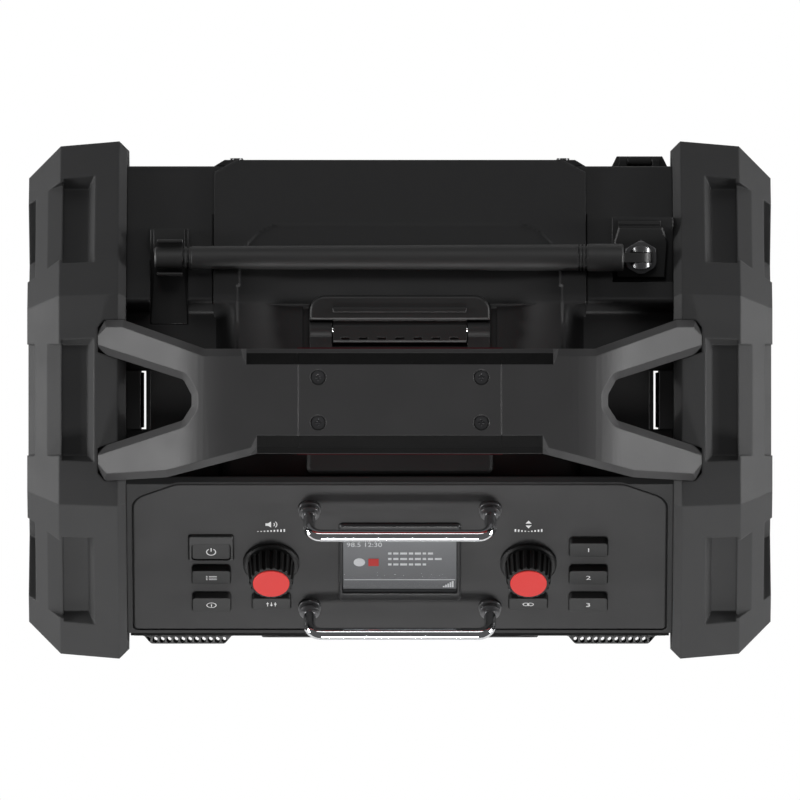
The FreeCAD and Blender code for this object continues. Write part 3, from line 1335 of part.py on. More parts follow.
def power_inlet():
    hx, hz = INLET_HALF
    face = BODY_REAR_Y
    more = INLET_FLANGE_MORE
    body = box(INLET_X - hx, INLET_X + hx, face - INLET_LONG, face, INLET_Z - hz, INLET_Z + hz)
    inside = face - WALL
    flange_low = inside - INLET_FLANGE
    x0 = INLET_X - hx - more
    x1 = INLET_X + hx + more
    flange = box(x0, x1, flange_low, inside, INLET_Z - hz - more, INLET_Z + hz + more)
    wx, wz = INLET_WELL_HALF
    well = box(INLET_X - wx, INLET_X + wx, face - INLET_WELL_DEEP, face + 1, INLET_Z - wz, INLET_Z + wz)
    well = well.makeFillet(CLIP_ROUND, edges_along(well, (0, 1, 0)))
    shape = body.fuse(flange).cut(well)
    px, pz = PRONG_HALF
    floor = face - INLET_WELL_DEEP
    for dx, dz in PRONG_PLACES:
        x = INLET_X + dx
        z = INLET_Z + dz
        shape = shape.fuse(box(x - px, x + px, floor - 1, floor + PRONG_LONG, z - pz, z + pz))
    return shape


def inlet_cap():
    hx, hz = INLET_CAP_HALF
    face = BODY_REAR_Y + INLET_CAP_GAP
    back = BODY_REAR_Y + INLET_CAP_DEEP
    rings = []
    for inset, y in ((0, face), (INLET_CAP_TAPER, back)):
        a = INLET_X - hx + inset
        b = INLET_X + hx - inset
        c = INLET_Z - hz + inset
        d = INLET_Z + hz - inset
        corners = [(a, y, c), (b, y, c), (b, y, d), (a, y, d)]
        rings.append(Part.makePolygon([V(*p) for p in corners + corners[:1]]))
    cap = Part.makeLoft(rings, True, True)
    half = CAP_KNUCKLE_HALF
    knuckle_a = (INLET_X - half, CAP_PIN_Y, CAP_PIN_Z)
    knuckle_b = (INLET_X + half, CAP_PIN_Y, CAP_PIN_Z)
    cap = cap.fuse(rod(CAP_KNUCKLE_R, knuckle_a, knuckle_b))
    low = INLET_Z + hz - INLET_CAP_TAPER - 1
    root_y = CAP_PIN_Y - CAP_KNUCKLE_R + FREE
    root = box(INLET_X - half, INLET_X + half, root_y, CAP_PIN_Y + CAP_KNUCKLE_R / 2, low, CAP_PIN_Z)
    cap = cap.fuse(root)
    for a, b in ((-CAP_LUG_HALF, -half), (half, CAP_LUG_HALF)):
        more = CAP_KNUCKLE_R + 2 * FREE
        x0 = INLET_X + a - FREE
        x1 = INLET_X + b + FREE
        if a < 0:
            x1 = INLET_X - half
        else:
            x0 = INLET_X + half
        cap = cap.cut(box(x0, x1, BODY_REAR_Y, BODY_REAR_Y + 2 * INLET_CAP_DEEP, CAP_PIN_Z - more, CAP_PIN_Z + more))
    bore = rod(CAP_PIN_R + RUN_FIT, (INLET_X - half - 1, CAP_PIN_Y, CAP_PIN_Z), (INLET_X + half + 1, CAP_PIN_Y, CAP_PIN_Z))
    return cap.cut(bore)


def inlet_cap_pin():
    end = CAP_LUG_HALF - FREE
    return rod(CAP_PIN_R, (INLET_X - end, CAP_PIN_Y, CAP_PIN_Z), (INLET_X + end, CAP_PIN_Y, CAP_PIN_Z))


def main_board():
    x = MAIN_BOARD_HALF_X
    low, high = MAIN_BOARD_ZS
    board = box(-x, x, MAIN_BOARD_Y, MAIN_BOARD_Y + BOARD_THICK, low, high)
    for px, pz, half, tall in MAIN_BOARD_PARTS:
        board = board.fuse(box(px - half, px + half, MAIN_BOARD_Y - tall, MAIN_BOARD_Y, pz - half, pz + half))
    return board


def build():
    save("control_panel", control_panel())
    for name, x, v, tall, rise in BUTTONS:
        save(name, button(x, v, tall, rise))
    save("power_bezel", power_bezel())
    save("control_board", control_board())
    for side, name in ((-1, "volume"), (1, "tuning")):
        save(name + "_knob", knob(side))
        save(name + "_knob_cap", knob_cap(side))
        save(name + "_spindle", spindle(side))
        save(name + "_encoder", encoder(side))
    save("display_bezel", display_bezel())
    save("display_lens", display_lens())
    save("display_module", display_module())
    for name, v in BAR_VS:
        save(name, guard_bar(v))
    save("bar_collars", bar_collars())
    save("front_housing", front_housing())
    save("rear_housing", rear_housing())
    save("rear_cover", rear_cover())
    save("rear_cover_screws", cover_screws())
    save("front_grille", front_grille())
    save("grille_trim", grille_trim())
    save("woofer", speaker(0, WOOFER_FLANGE_R, WOOFER_HOLE_R, WOOFER_DEEP))
    save("left_speaker", speaker(-DOME_X, TWEETER_FLANGE_R, TWEETER_HOLE_R, TWEETER_DEEP))
    save("right_speaker", speaker(DOME_X, TWEETER_FLANGE_R, TWEETER_HOLE_R, TWEETER_DEEP))
    right = guard()
    save("right_guard", right)
    save("left_guard", mirrored(right))
    save("guard_feet", guard_feet())
    save("guard_bolts", guard_bolts())
    frame, cover = handle_parts()
    save("handle_frame", frame)
    save("grip_cover", cover)
    save("grip_underside", grip_underside())
    save("handle_screws", handle_screws())
    save("compartment_tray", compartment_tray())
    save("compartment_lid", compartment_lid())
    save("lid_hinge_cover", hinge_cover())
    save("lid_hinge_pin", lid_hinge_pin())
    save("antenna_rod", antenna_rod())
    save("antenna_barrel", antenna_barrel())
    save("antenna_fork", antenna_fork())
    save("antenna_pin", antenna_pin())
    save("antenna_nut", antenna_nut())
    save("antenna_pedestal", antenna_pedestal())
    save("antenna_clip", antenna_clip())
    save("power_inlet", power_inlet())
    save("inlet_cap", inlet_cap())
    save("inlet_cap_pin", inlet_cap_pin())
    save("main_board", main_board())


build()
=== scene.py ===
# %% [markdown]
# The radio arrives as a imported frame: one node for each solid part, already in its place, in
# metres, with X to the right, Y to the rear and Z up. All of it could be modelled again by hand,
# but then nothing would fit the joints, so every piece below is fitted round this frame.

# %% Load the frame
import json
import math

import bmesh
import bpy
from mathutils import Matrix, Vector


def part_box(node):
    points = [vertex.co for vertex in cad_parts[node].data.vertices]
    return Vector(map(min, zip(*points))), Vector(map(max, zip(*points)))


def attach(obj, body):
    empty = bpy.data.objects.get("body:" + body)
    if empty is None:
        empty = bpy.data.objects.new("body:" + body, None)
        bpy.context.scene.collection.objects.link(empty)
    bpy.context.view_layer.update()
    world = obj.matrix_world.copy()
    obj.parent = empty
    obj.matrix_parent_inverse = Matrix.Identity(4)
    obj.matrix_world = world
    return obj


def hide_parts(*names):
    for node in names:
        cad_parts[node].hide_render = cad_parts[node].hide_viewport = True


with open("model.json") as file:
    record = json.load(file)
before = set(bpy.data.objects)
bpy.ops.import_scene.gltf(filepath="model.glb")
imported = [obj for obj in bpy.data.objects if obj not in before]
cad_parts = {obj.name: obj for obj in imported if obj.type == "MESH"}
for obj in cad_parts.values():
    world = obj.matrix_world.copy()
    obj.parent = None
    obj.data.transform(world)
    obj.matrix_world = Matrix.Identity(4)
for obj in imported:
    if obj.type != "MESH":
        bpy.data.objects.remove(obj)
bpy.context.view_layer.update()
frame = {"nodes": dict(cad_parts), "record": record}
NODES = frame["nodes"]
MM = 0.001
PLAIN = Matrix.Scale(MM, 4)

# %% [markdown]
# Most sizes below are in millimetres and start from a node's box, so that a change to the solids
# moves the pieces too. The control panel leans back by 45 degrees from its low edge. A point on
# it is easier to think of as x across, v up the slope and w out of the face, so a helper turns
# such a point into the frame's own directions.

# %% Boxes and the panel's own directions
PANEL_LOW_Y = -133.05
PANEL_LOW_Z = 163.6
PANEL_LEAN = math.radians(45)
SLOPE = math.sqrt(0.5)


def box_mm(node):
    """The low and high corners of a node's box, in millimetres."""
    low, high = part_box(node)
    return low / MM, high / MM


def panel_point(x, v, w):
    """A point on the panel, in metres in the frame."""
    y = PANEL_LOW_Y + (v - w) * SLOPE
    z = PANEL_LOW_Z + (v + w) * SLOPE
    return Vector((x * MM, y * MM, z * MM))


def panel_matrix(x, v, w, lean=0.0):
    """Places millimetres drawn flat at a point of the panel, leaning further about X if asked."""
    turn = Matrix.Rotation(PANEL_LEAN + lean, 4, "X")
    return Matrix.Translation(panel_point(x, v, w)) @ turn @ PLAIN


def panel_row(node):
    """How far up the slope the middle of a node's box is, in millimetres."""
    low, high = box_mm(node)
    middle = (low + high) / 2
    return (middle.y - PANEL_LOW_Y + middle.z - PANEL_LOW_Z) * SLOPE


print("display is", round(panel_row("display_lens"), 2), "mm up the panel")

# %% [markdown]
# A shader is a tree of nodes, and the same few kinds come back in every finish: sums, noise and
# node groups. Three small helpers keep each finish short enough to read.

# %% Shader helpers
def math_node(tree, operation, a, b=None, c=None):
    """A sum on numbers or on other nodes' outputs."""
    node = tree.nodes.new("ShaderNodeMath")
    node.operation = operation
    for index, value in enumerate((a, b, c)):
        if value is None:
            continue
        if isinstance(value, (int, float)):
            node.inputs[index].default_value = value
        else:
            tree.links.new(value, node.inputs[index])
    return node.outputs[0]


def noise_node(tree, vector, scale, detail=2.0, rough=0.5):
    """Cloudy values between 0 and 1."""
    node = tree.nodes.new("ShaderNodeTexNoise")
    node.inputs["Scale"].default_value = scale
    node.inputs["Detail"].default_value = detail
    node.inputs["Roughness"].default_value = rough
    tree.links.new(vector, node.inputs["Vector"])
    return node.outputs["Fac"]


def new_group(name, inputs, outputs):
    """An empty node group with named inputs and outputs, and its two end nodes."""
    group = bpy.data.node_groups.new(name, "ShaderNodeTree")
    for socket_name, kind, value in inputs:
        socket = group.interface.new_socket(socket_name, in_out="INPUT", socket_type=kind)
        socket.default_value = value
    for socket_name, kind in outputs:
        group.interface.new_socket(socket_name, in_out="OUTPUT", socket_type=kind)
    return group, group.nodes.new("NodeGroupInput"), group.nodes.new("NodeGroupOutput")


print("shader helpers ready")

# %% [markdown]
# The real plastic comes out of a spark-eroded mould, which leaves a fine grain and slow cloudy
# differences in shine. A photo of plastic could show both, but noise stays sharp at any
# distance. Every plastic, rubber and steel uses it, so it is a group, built once.

# %% Node group: moulded grain
FINE_SCALE = 5200.0
FINE_SHARE = 0.5
PATCH_SCALE = 38.0


def grain_group():
    """Height of a fine grain, and slow patches that vary a colour or a shine."""
    inputs = [("Vector", "NodeSocketVector", (0, 0, 0)), ("Scale", "NodeSocketFloat", 1600.0)]
    outputs = [("Height", "NodeSocketFloat"), ("Patch", "NodeSocketFloat")]
    group, start, end = new_group("moulded_grain", inputs, outputs)
    pebbles = group.nodes.new("ShaderNodeTexVoronoi")
    pebbles.feature = "SMOOTH_F1"
    group.links.new(start.outputs["Vector"], pebbles.inputs["Vector"])
    group.links.new(start.outputs["Scale"], pebbles.inputs["Scale"])
    fine = noise_node(group, start.outputs["Vector"], FINE_SCALE, 2.0, 0.6)
    patch = noise_node(group, start.outputs["Vector"], PATCH_SCALE, 3.0, 0.55)
    height = math_node(group, "MULTIPLY_ADD", fine, FINE_SHARE, pebbles.outputs["Distance"])
    group.links.new(height, end.inputs["Height"])
    group.links.new(patch, end.inputs["Patch"])
    return group


GRAIN = grain_group()
print("group", GRAIN.name)

# %% [markdown]
# On a radio that is used, outer edges are rounded by the mould and rubbed lighter by hands. A
# bevel modifier would round them in the mesh, at the cost of many faces on loose CAD triangles.
# The Bevel node rounds only the shading, and where its normal turns away from the flat one there
# is an edge, so the same node also gives a mask for wear.

# %% Node group: edge wear
BEVEL_SAMPLES = 6
EDGE_GAIN = 6.0
RUB_SCALE = 260.0


def wear_group():
    """A mask that is 1 on edges, broken up by noise, and the normal of rounded edges."""
    inputs = [("Vector", "NodeSocketVector", (0, 0, 0)), ("Radius", "NodeSocketFloat", 0.0012)]
    outputs = [("Mask", "NodeSocketFloat"), ("Normal", "NodeSocketVector")]
    group, start, end = new_group("edge_wear", inputs, outputs)
    bevel = group.nodes.new("ShaderNodeBevel")
    bevel.samples = BEVEL_SAMPLES
    group.links.new(start.outputs["Radius"], bevel.inputs["Radius"])
    flat = group.nodes.new("ShaderNodeNewGeometry")
    dot = group.nodes.new("ShaderNodeVectorMath")
    dot.operation = "DOT_PRODUCT"
    group.links.new(bevel.outputs["Normal"], dot.inputs[0])
    group.links.new(flat.outputs["Normal"], dot.inputs[1])
    turned_away = math_node(group, "SUBTRACT", 1.0, dot.outputs["Value"])
    edge = math_node(group, "MULTIPLY", turned_away, EDGE_GAIN)
    broken = noise_node(group, start.outputs["Vector"], RUB_SCALE, 4.0, 0.6)
    mask = math_node(group, "MINIMUM", math_node(group, "MULTIPLY", edge, broken), 1.0)
    group.links.new(mask, end.inputs["Mask"])
    group.links.new(bevel.outputs["Normal"], end.inputs["Normal"])
    return group


WEAR = wear_group()
print("group", WEAR.name)

# %% [markdown]
# Plastic, rubber and painted steel differ in colour, shine and depth of grain, but they are built
# alike. One function makes them all, so a finish is a single row of values. It reads Object
# coordinates, which stay with a piece when its body moves.

# %% Moulded finish
RUBBED_GAIN = 1.6
RUBBED_LIFT = 0.01
SHINE_SPREAD = 0.14
GRAIN_DEPTH = 0.00012


def new_material(name):
    """A node material with its tree, its shader and its Object coordinates."""
    mat = bpy.data.materials.new(name)
    mat.use_nodes = True
    coords = mat.node_tree.nodes.new("ShaderNodeTexCoord").outputs["Object"]
    return mat, mat.node_tree, mat.node_tree.nodes["Principled BSDF"], coords


def placed_group(tree, group, coords, socket_name, value):
    """A group placed in a material, with one of its values set."""
    node = tree.nodes.new("ShaderNodeGroup")
    node.node_tree = group
    node.inputs[socket_name].default_value = value
    tree.links.new(coords, node.inputs["Vector"])
    return node


def colour_mix(tree, factor, a, b):
    """A mix of two colours. The first may come from another node."""
    mix = tree.nodes.new("ShaderNodeMix")
    mix.data_type = "RGBA"
    if isinstance(a, bpy.types.NodeSocket):
        tree.links.new(a, mix.inputs["A"])
    else:
        mix.inputs["A"].default_value = (*a, 1)
    mix.inputs["B"].default_value = (*b, 1)
    tree.links.new(factor, mix.inputs["Factor"])
    return mix.outputs["Result"]


def moulded(name, colour, rough, grain=0.25, scale=1600.0, edge=0.0012, wear=0.35, vary=0.12,
            spec=0.5, metal=0.0):
    """A moulded or painted surface with grain, cloudy colour, rounded edges and wear."""
    mat, tree, shader, coords = new_material(name)
    grained = placed_group(tree, GRAIN, coords, "Scale", scale)
    worn = placed_group(tree, WEAR, coords, "Radius", edge)
    low = [c * (1 - vary) for c in colour]
    high = [c * (1 + vary) for c in colour]
    rubbed = [min(1, c * RUBBED_GAIN + RUBBED_LIFT) for c in colour]
    cloudy = colour_mix(tree, grained.outputs["Patch"], low, high)
    amount = math_node(tree, "MULTIPLY", worn.outputs["Mask"], wear)
    tree.links.new(colour_mix(tree, amount, cloudy, rubbed), shader.inputs["Base Color"])
    shine = math_node(tree, "MULTIPLY_ADD", grained.outputs["Patch"], SHINE_SPREAD, rough - SHINE_SPREAD / 2)
    tree.links.new(shine, shader.inputs["Roughness"])
    bump = tree.nodes.new("ShaderNodeBump")
    bump.inputs["Strength"].default_value = grain
    bump.inputs["Distance"].default_value = GRAIN_DEPTH
    tree.links.new(grained.outputs["Height"], bump.inputs["Height"])
    tree.links.new(worn.outputs["Normal"], bump.inputs["Normal"])
    tree.links.new(bump.outputs["Normal"], shader.inputs["Normal"])
    shader.inputs["Specular IOR Level"].default_value = spec
    shader.inputs["Metallic"].default_value = metal
    return mat


print("moulded finish ready")

# %% [markdown]
# The guard bars are plated steel. A perfect mirror looks like a drawing, so smudges vary how
# sharply it reflects, and a very weak bump bends the reflections as real plating does.

# %% Plated finish
SMUDGE_SCALE = 90.0
RIPPLE_SCALE = 900.0


def plated(name, colour, rough):
    """Plated steel with smudges in its roughness and very fine ripples."""
    mat, tree, shader, coords = new_material(name)
    shader.inputs["Base Color"].default_value = (*colour, 1)
    shader.inputs["Metallic"].default_value = 1.0
    smudge = noise_node(tree, coords, SMUDGE_SCALE, 4.0, 0.6)
    tree.links.new(math_node(tree, "MULTIPLY_ADD", smudge, rough, rough * 0.5), shader.inputs["Roughness"])
    bump = tree.nodes.new("ShaderNodeBump")
    bump.inputs["Strength"].default_value = 0.04
    bump.inputs["Distance"].default_value = 0.0001
    tree.links.new(noise_node(tree, coords, RIPPLE_SCALE, 2.0, 0.5), bump.inputs["Height"])
    tree.links.new(bump.outputs["Normal"], shader.inputs["Normal"])
    return mat


print("plated finish ready")

# %% [markdown]
# The display is lit from behind and gets lighter towards its upper edge. A picture could be laid
# on it, but a ramp over the height is enough behind a few plain marks, and it has no pixels.

# %% Lit display
SCREEN_FOOT = 0.185
SCREEN_RISE = 0.036
SCREEN_CLOUD = 0.12
SCREEN_GLOW = 0.35
SCREEN_SHADES = ((0.0, (0.075, 0.075, 0.077)), (0.5, (0.12, 0.12, 0.123)), (1.0, (0.17, 0.17, 0.174)))


def screen_material():
    """A grey gradient that glows a little."""
    mat, tree, shader, coords = new_material("screen_image")
    split = tree.nodes.new("ShaderNodeSeparateXYZ")
    tree.links.new(coords, split.inputs["Vector"])
    height = math_node(tree, "MULTIPLY_ADD", split.outputs["Z"], 1 / SCREEN_RISE, -SCREEN_FOOT / SCREEN_RISE)
    cloud = noise_node(tree, coords, 60.0, 2.0, 0.5)
    ramp = tree.nodes.new("ShaderNodeValToRGB")
    stops = ramp.color_ramp.elements
    stops.new(0.5)
    for stop, (place, shade) in zip(stops, SCREEN_SHADES):
        stop.position = place
        stop.color = (*shade, 1)
    tree.links.new(math_node(tree, "MULTIPLY_ADD", cloud, SCREEN_CLOUD, height), ramp.inputs["Fac"])
    tree.links.new(ramp.outputs["Color"], shader.inputs["Base Color"])
    tree.links.new(ramp.outputs["Color"], shader.inputs["Emission Color"])
    shader.inputs["Emission Strength"].default_value = SCREEN_GLOW
    shader.inputs["Roughness"].default_value = 0.4
    return mat


print("lit display ready")

# %% [markdown]
# A clear window lies over the display. Real refraction would need a closed glass body and many
# light bounces. A see-through shader with a weak reflection on top looks the same on a flat
# window and is much quicker.

# %% Clear window
def window_material():
    """Mostly see-through, with a reflection that grows towards grazing angles."""
    mat = bpy.data.materials.new("window_clear")
    mat.use_nodes = True
    tree = mat.node_tree
    tree.nodes.remove(tree.nodes["Principled BSDF"])
    clear = tree.nodes.new("ShaderNodeBsdfTransparent")
    clear.inputs["Color"].default_value = (0.93, 0.94, 0.95, 1)
    shine = tree.nodes.new("ShaderNodeBsdfGlossy")
    shine.inputs["Roughness"].default_value = 0.08
    edge = tree.nodes.new("ShaderNodeFresnel")
    edge.inputs["IOR"].default_value = 1.45
    coords = tree.nodes.new("ShaderNodeTexCoord").outputs["Object"]
    smear = math_node(tree, "MULTIPLY_ADD", noise_node(tree, coords, 120.0, 3.0, 0.6), 0.3, 0.5)
    mix = tree.nodes.new("ShaderNodeMixShader")
    tree.links.new(math_node(tree, "MULTIPLY", edge.outputs["Fac"], smear), mix.inputs["Fac"])
    tree.links.new(clear.outputs["BSDF"], mix.inputs[1])
    tree.links.new(shine.outputs["BSDF"], mix.inputs[2])
    tree.links.new(mix.outputs["Shader"], tree.nodes["Material Output"].inputs["Surface"])
    return mat


print("clear window ready")

# %% [markdown]
# The radio's finishes. Nearly all of it is black, so what tells the parts apart is small: the
# guards' rubber is matt and worn, the panel a little lighter and smoother, the knobs darkest.

# %% Table of finishes
FINISHES = {
    "body_plastic": dict(colour=(0.0115, 0.0115, 0.0118), rough=0.6, grain=0.3, spec=0.4),
    "panel_plastic": dict(colour=(0.026, 0.0255, 0.026), rough=0.6, grain=0.22, edge=0.0008, vary=0.05,
                          wear=0.2, spec=0.4),
    "black_plastic": dict(colour=(0.009, 0.009, 0.009), rough=0.5, grain=0.15, edge=0.0006),
    "black_gloss": dict(colour=(0.02, 0.02, 0.021), rough=0.32, grain=0.05, edge=0.0008, wear=0.2),
    "dark_steel": dict(colour=(0.16, 0.16, 0.163), rough=0.34, grain=0.08, edge=0.0004, metal=0.85),
    "grille_steel": dict(colour=(0.02, 0.02, 0.02), rough=0.42, grain=0.08, edge=0.0003),
    "speaker_black": dict(colour=(0.01, 0.01, 0.01), rough=0.8, grain=0.4),
    "guard_rubber": dict(colour=(0.025, 0.025, 0.0254), rough=0.66, grain=0.35, edge=0.0016, wear=0.5,
                         spec=0.45),
    "foot_rubber": dict(colour=(0.013, 0.013, 0.013), rough=0.8, grain=0.3),
    "handle_plastic": dict(colour=(0.025, 0.0245, 0.025), rough=0.58, grain=0.22, edge=0.0009, vary=0.06,
                           spec=0.45),
    "handle_band": dict(colour=(0.0035, 0.0035, 0.0035), rough=0.75, grain=0.4, edge=0.0004, spec=0.1),
    # a darkened copy of the red plastic: painted shade for the grip's red underside
    "red_painted_shade": dict(colour=(0.05, 0.003, 0.006), rough=0.6, grain=0.3, edge=0.0003, spec=0.2),
    "red_plastic": dict(colour=(0.66, 0.022, 0.018), rough=0.6, grain=0.05, edge=0.0005, vary=0.03, wear=0.1),
    "antenna_rubber": dict(colour=(0.018, 0.018, 0.018), rough=0.55, grain=0.12, edge=0.0004),
    "knob_black": dict(colour=(0.006, 0.006, 0.006), rough=0.5, grain=0.12, edge=0.0004, spec=0.3),
    "button_rubber": dict(colour=(0.02, 0.02, 0.02), rough=0.62, grain=0.15, edge=0.0006, vary=0.05),
    "board_green": dict(colour=(0.02, 0.12, 0.06), rough=0.5, grain=0.1),
    "print_white": dict(colour=(0.8, 0.8, 0.8), rough=0.6, grain=0.05, edge=0.0001, vary=0.03, wear=0.0),
}
MATS = {name: moulded(name, **values) for name, values in FINISHES.items()}
MATS["bright_bar"] = plated("bright_bar", (0.8, 0.81, 0.82), 0.09)
MATS["screen_glass"] = window_material()
MATS["screen_image"] = screen_material()
print("materials", len(MATS))

# %% [markdown]
# Each node's record already names the slot that its finish fills, so the nodes are dressed in one
# loop. Only the collars under the guard bars are darker than their slot says.

# %% Dress the nodes
SLOT_OF = {row["node"]: row["material_slot"] for row in frame["record"]["subparts"]}
SLOT_OF["bar_collars"] = "dark_steel"
for node_name, node in NODES.items():
    node.data.materials.clear()
    node.data.materials.append(MATS[SLOT_OF[node_name]])
    for poly in node.data.polygons:
        poly.material_index = 0
print("dressed nodes", len(NODES), "finishes in use", len(set(SLOT_OF.values())))

# %% [markdown]
# New pieces are drawn in a bmesh, in metres and in place, so the finished object sits unturned at
# the origin like the nodes. One helper turns a bmesh into such an object. It smooths the shading
# but keeps edges that turn by more than an angle sharp.

# %% Finished pieces
def piece(name, bm, mat, body, replaces=(), smooth=True, angle=32):
    """A finished piece that rides on a body and may stand for some nodes."""
    bmesh.ops.recalc_face_normals(bm, faces=bm.faces[:])
    mesh = bpy.data.meshes.new(name)
    bm.to_mesh(mesh)
    bm.free()
    obj = bpy.data.objects.new(name, mesh)
    bpy.context.scene.collection.objects.link(obj)
    mesh.materials.append(MATS[mat])
    if smooth:
        for poly in mesh.polygons:
            poly.use_smooth = True
        mesh.set_sharp_from_angle(angle=math.radians(angle))
    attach(obj, body)
    if replaces:
        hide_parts(*replaces)
    print("piece", name, "faces", len(mesh.polygons))
    return obj


print("piece helper ready")

# %% [markdown]
# Nearly every small piece is a flat outline with some thickness. Drawing the outline as one face
# and pushing it up with extrude gives a closed solid, without working out its sides by hand.

# %% Prisms
def verts_of(geom):
    """Only the vertices of what an operator gave back."""
    return [item for item in geom if isinstance(item, bmesh.types.BMVert)]


def rect(x, y, wide, tall):
    """The outline of a rectangle round its middle."""
    return [(x + i * wide / 2, y + j * tall / 2) for i, j in ((-1, -1), (1, -1), (1, 1), (-1, 1))]


def prism(bm, outline, low, high, matrix):
    """A closed solid from an outline, between two heights, through a matrix."""
    base = bm.faces.new([bm.verts.new((x, y, low)) for x, y in outline])
    foot = list(base.verts)
    grown = bmesh.ops.extrude_face_region(bm, geom=[base])
    top = verts_of(grown["geom"])
    bmesh.ops.translate(bm, verts=top, vec=(0, 0, high - low))
    bmesh.ops.transform(bm, verts=foot + top, matrix=matrix)


def join_bm(target, source, matrix):
    """Adds one bmesh to another, through a matrix."""
    source.transform(matrix)
    mesh = bpy.data.meshes.new("join")
    source.to_mesh(mesh)
    source.free()
    target.from_mesh(mesh)
    bpy.data.meshes.remove(mesh)


print("prism helper ready")

# %% [markdown]
# Collars and the rings of printed icons are round. Spinning a section about an axis is how a
# lathe would cut them. A full turn has to merge its last step with its first, and what lies on
# the axis is merged too, so that no seam or pole stays open.

# %% Turned shapes
def turned(section, closed, sweep, steps):
    """A section of (radius, height) points spun about Z by some degrees."""
    part = bmesh.new()
    verts = [part.verts.new((radius, 0, height)) for radius, height in section]
    full = sweep == 360
    if closed and not full:
        part.faces.new(verts)
    else:
        ends = verts[1:] + verts[:1] if closed else verts[1:]
        for pair in zip(verts, ends):
            part.edges.new(pair)
    bmesh.ops.spin(part, geom=part.verts[:] + part.edges[:] + part.faces[:], cent=(0, 0, 0), axis=(0, 0, 1),
                   dvec=(0, 0, 0), angle=math.radians(sweep), space=Matrix.Identity(4), steps=steps,
                   use_merge=full, use_normal_flip=False, use_duplicate=False)
    bmesh.ops.remove_doubles(part, verts=part.verts[:], dist=0.0005)
    return part


print("turning helper ready")

# %% [markdown]
# The front is one perforated steel sheet, flat before the woofer and raised over the two side
# speakers. A picture of holes would look flat from the side, so the holes are real. A smooth
# step, 0 to 1 with soft ends, shapes the raised fields, and it returns in other pieces.

# %% Shape of the front sheet
GRILLE_LOW, GRILLE_HIGH = box_mm("front_grille")
SHEET_Y = box_mm("grille_trim")[1].y
FIELD_X = 123.0
FIELD_HALF = 26.0
FIELD_TOP_HALF = 20.5
FIELD_RISE = 4.8
FIELD_END = 14.0


def smooth_step(t):
    """Rises from 0 to 1 with soft ends."""
    t = max(0.0, min(1.0, t))
    return t * t * (3 - 2 * t)


def field_rise(x, z):
    """How far the sheet stands forward of its flat part, in millimetres."""
    across = FIELD_HALF - abs(abs(x) - FIELD_X)
    along = min(z - GRILLE_LOW.z, GRILLE_HIGH.z - z) - FIELD_END
    return FIELD_RISE * smooth_step(min(across, along) / (FIELD_HALF - FIELD_TOP_HALF))


print("raised fields stand", field_rise(FIELD_X, (GRILLE_LOW.z + GRILLE_HIGH.z) / 2), "mm forward")

# %% [markdown]
# The sheet's holes sit in a honeycomb. Cutting thousands of holes with booleans would be slow and
# fragile. Instead one open cell is made from two six-sided rings, copied along a row, and the row
# copied upwards. Merging what touches turns the cells into one sheet.

# %% Honeycomb sheet
PITCH = 4.0
ROW_STEP = PITCH * math.sqrt(3) / 2
CELL_RADIUS = PITCH / math.sqrt(3)
HOLE_SHARE = 0.68
CELLS_ACROSS = round(2 * GRILLE_HIGH.x / PITCH)
CELL_ROWS = int((GRILLE_HIGH.z - GRILLE_LOW.z) / ROW_STEP)
SHEET_THICK = 0.9


def open_cell(bm, x, z):
    """One six-sided cell with its hole, drawn flat."""
    at = Matrix.Translation((x, z, 0))
    radii = (CELL_RADIUS, CELL_RADIUS * HOLE_SHARE)
    verts = [v for r in radii for v in bmesh.ops.create_circle(bm, segments=6, radius=r, matrix=at)["verts"]]
    rings = list({edge for vert in verts for edge in vert.link_edges})
    faces = bmesh.ops.bridge_loops(bm, edges=rings)["faces"]
    return verts + list({edge for face in faces for edge in face.edges}) + faces


def copied(bm, geom, count, step):
    """Some geometry and its copies, each one step further on."""
    whole = list(geom)
    for k in range(1, count):
        copy = bmesh.ops.duplicate(bm, geom=geom)["geom"]
        bmesh.ops.translate(bm, verts=verts_of(copy), vec=step * k)
        whole += copy
    return whole


def honeycomb():
    """The sheet, bent over its raised fields. Odd rows are shifted by half a cell."""
    bm = bmesh.new()
    low_row = (GRILLE_LOW.z + GRILLE_HIGH.z - (CELL_ROWS - 1) * ROW_STEP) / 2
    for odd in (0, 1):
        count = CELLS_ACROSS - 2 + odd
        cell = open_cell(bm, -(count - 1) * PITCH / 2, low_row + odd * ROW_STEP)
        row = copied(bm, cell, count, Vector((PITCH, 0, 0)))
        copied(bm, row, (CELL_ROWS + 1 - odd) // 2, Vector((0, 2 * ROW_STEP, 0)))
    bmesh.ops.remove_doubles(bm, verts=bm.verts[:], dist=0.02)
    for vert in bm.verts:
        x, z = vert.co.x, vert.co.y
        vert.co = Vector((x, SHEET_Y - field_rise(x, z), z)) * MM
    return bm


grille = piece("grille_sheet", honeycomb(), "grille_steel", "chassis", ("front_grille",), smooth=False)
thickness = grille.modifiers.new("sheet_thickness", "SOLIDIFY")
thickness.thickness = SHEET_THICK * MM
thickness.offset = 0

# %% [markdown]
# The perforated field ends in a plain rim, where the real sheet isn't punched. Four bars make
# it, drawn flat and then stood upright.

# %% Rim of the front sheet
RIM_WIDE = 3.0
RIM_FRONT = -136.5
UPRIGHT = Matrix(((MM, 0, 0, 0), (0, 0, MM, 0), (0, MM, 0, 0), (0, 0, 0, 1)))


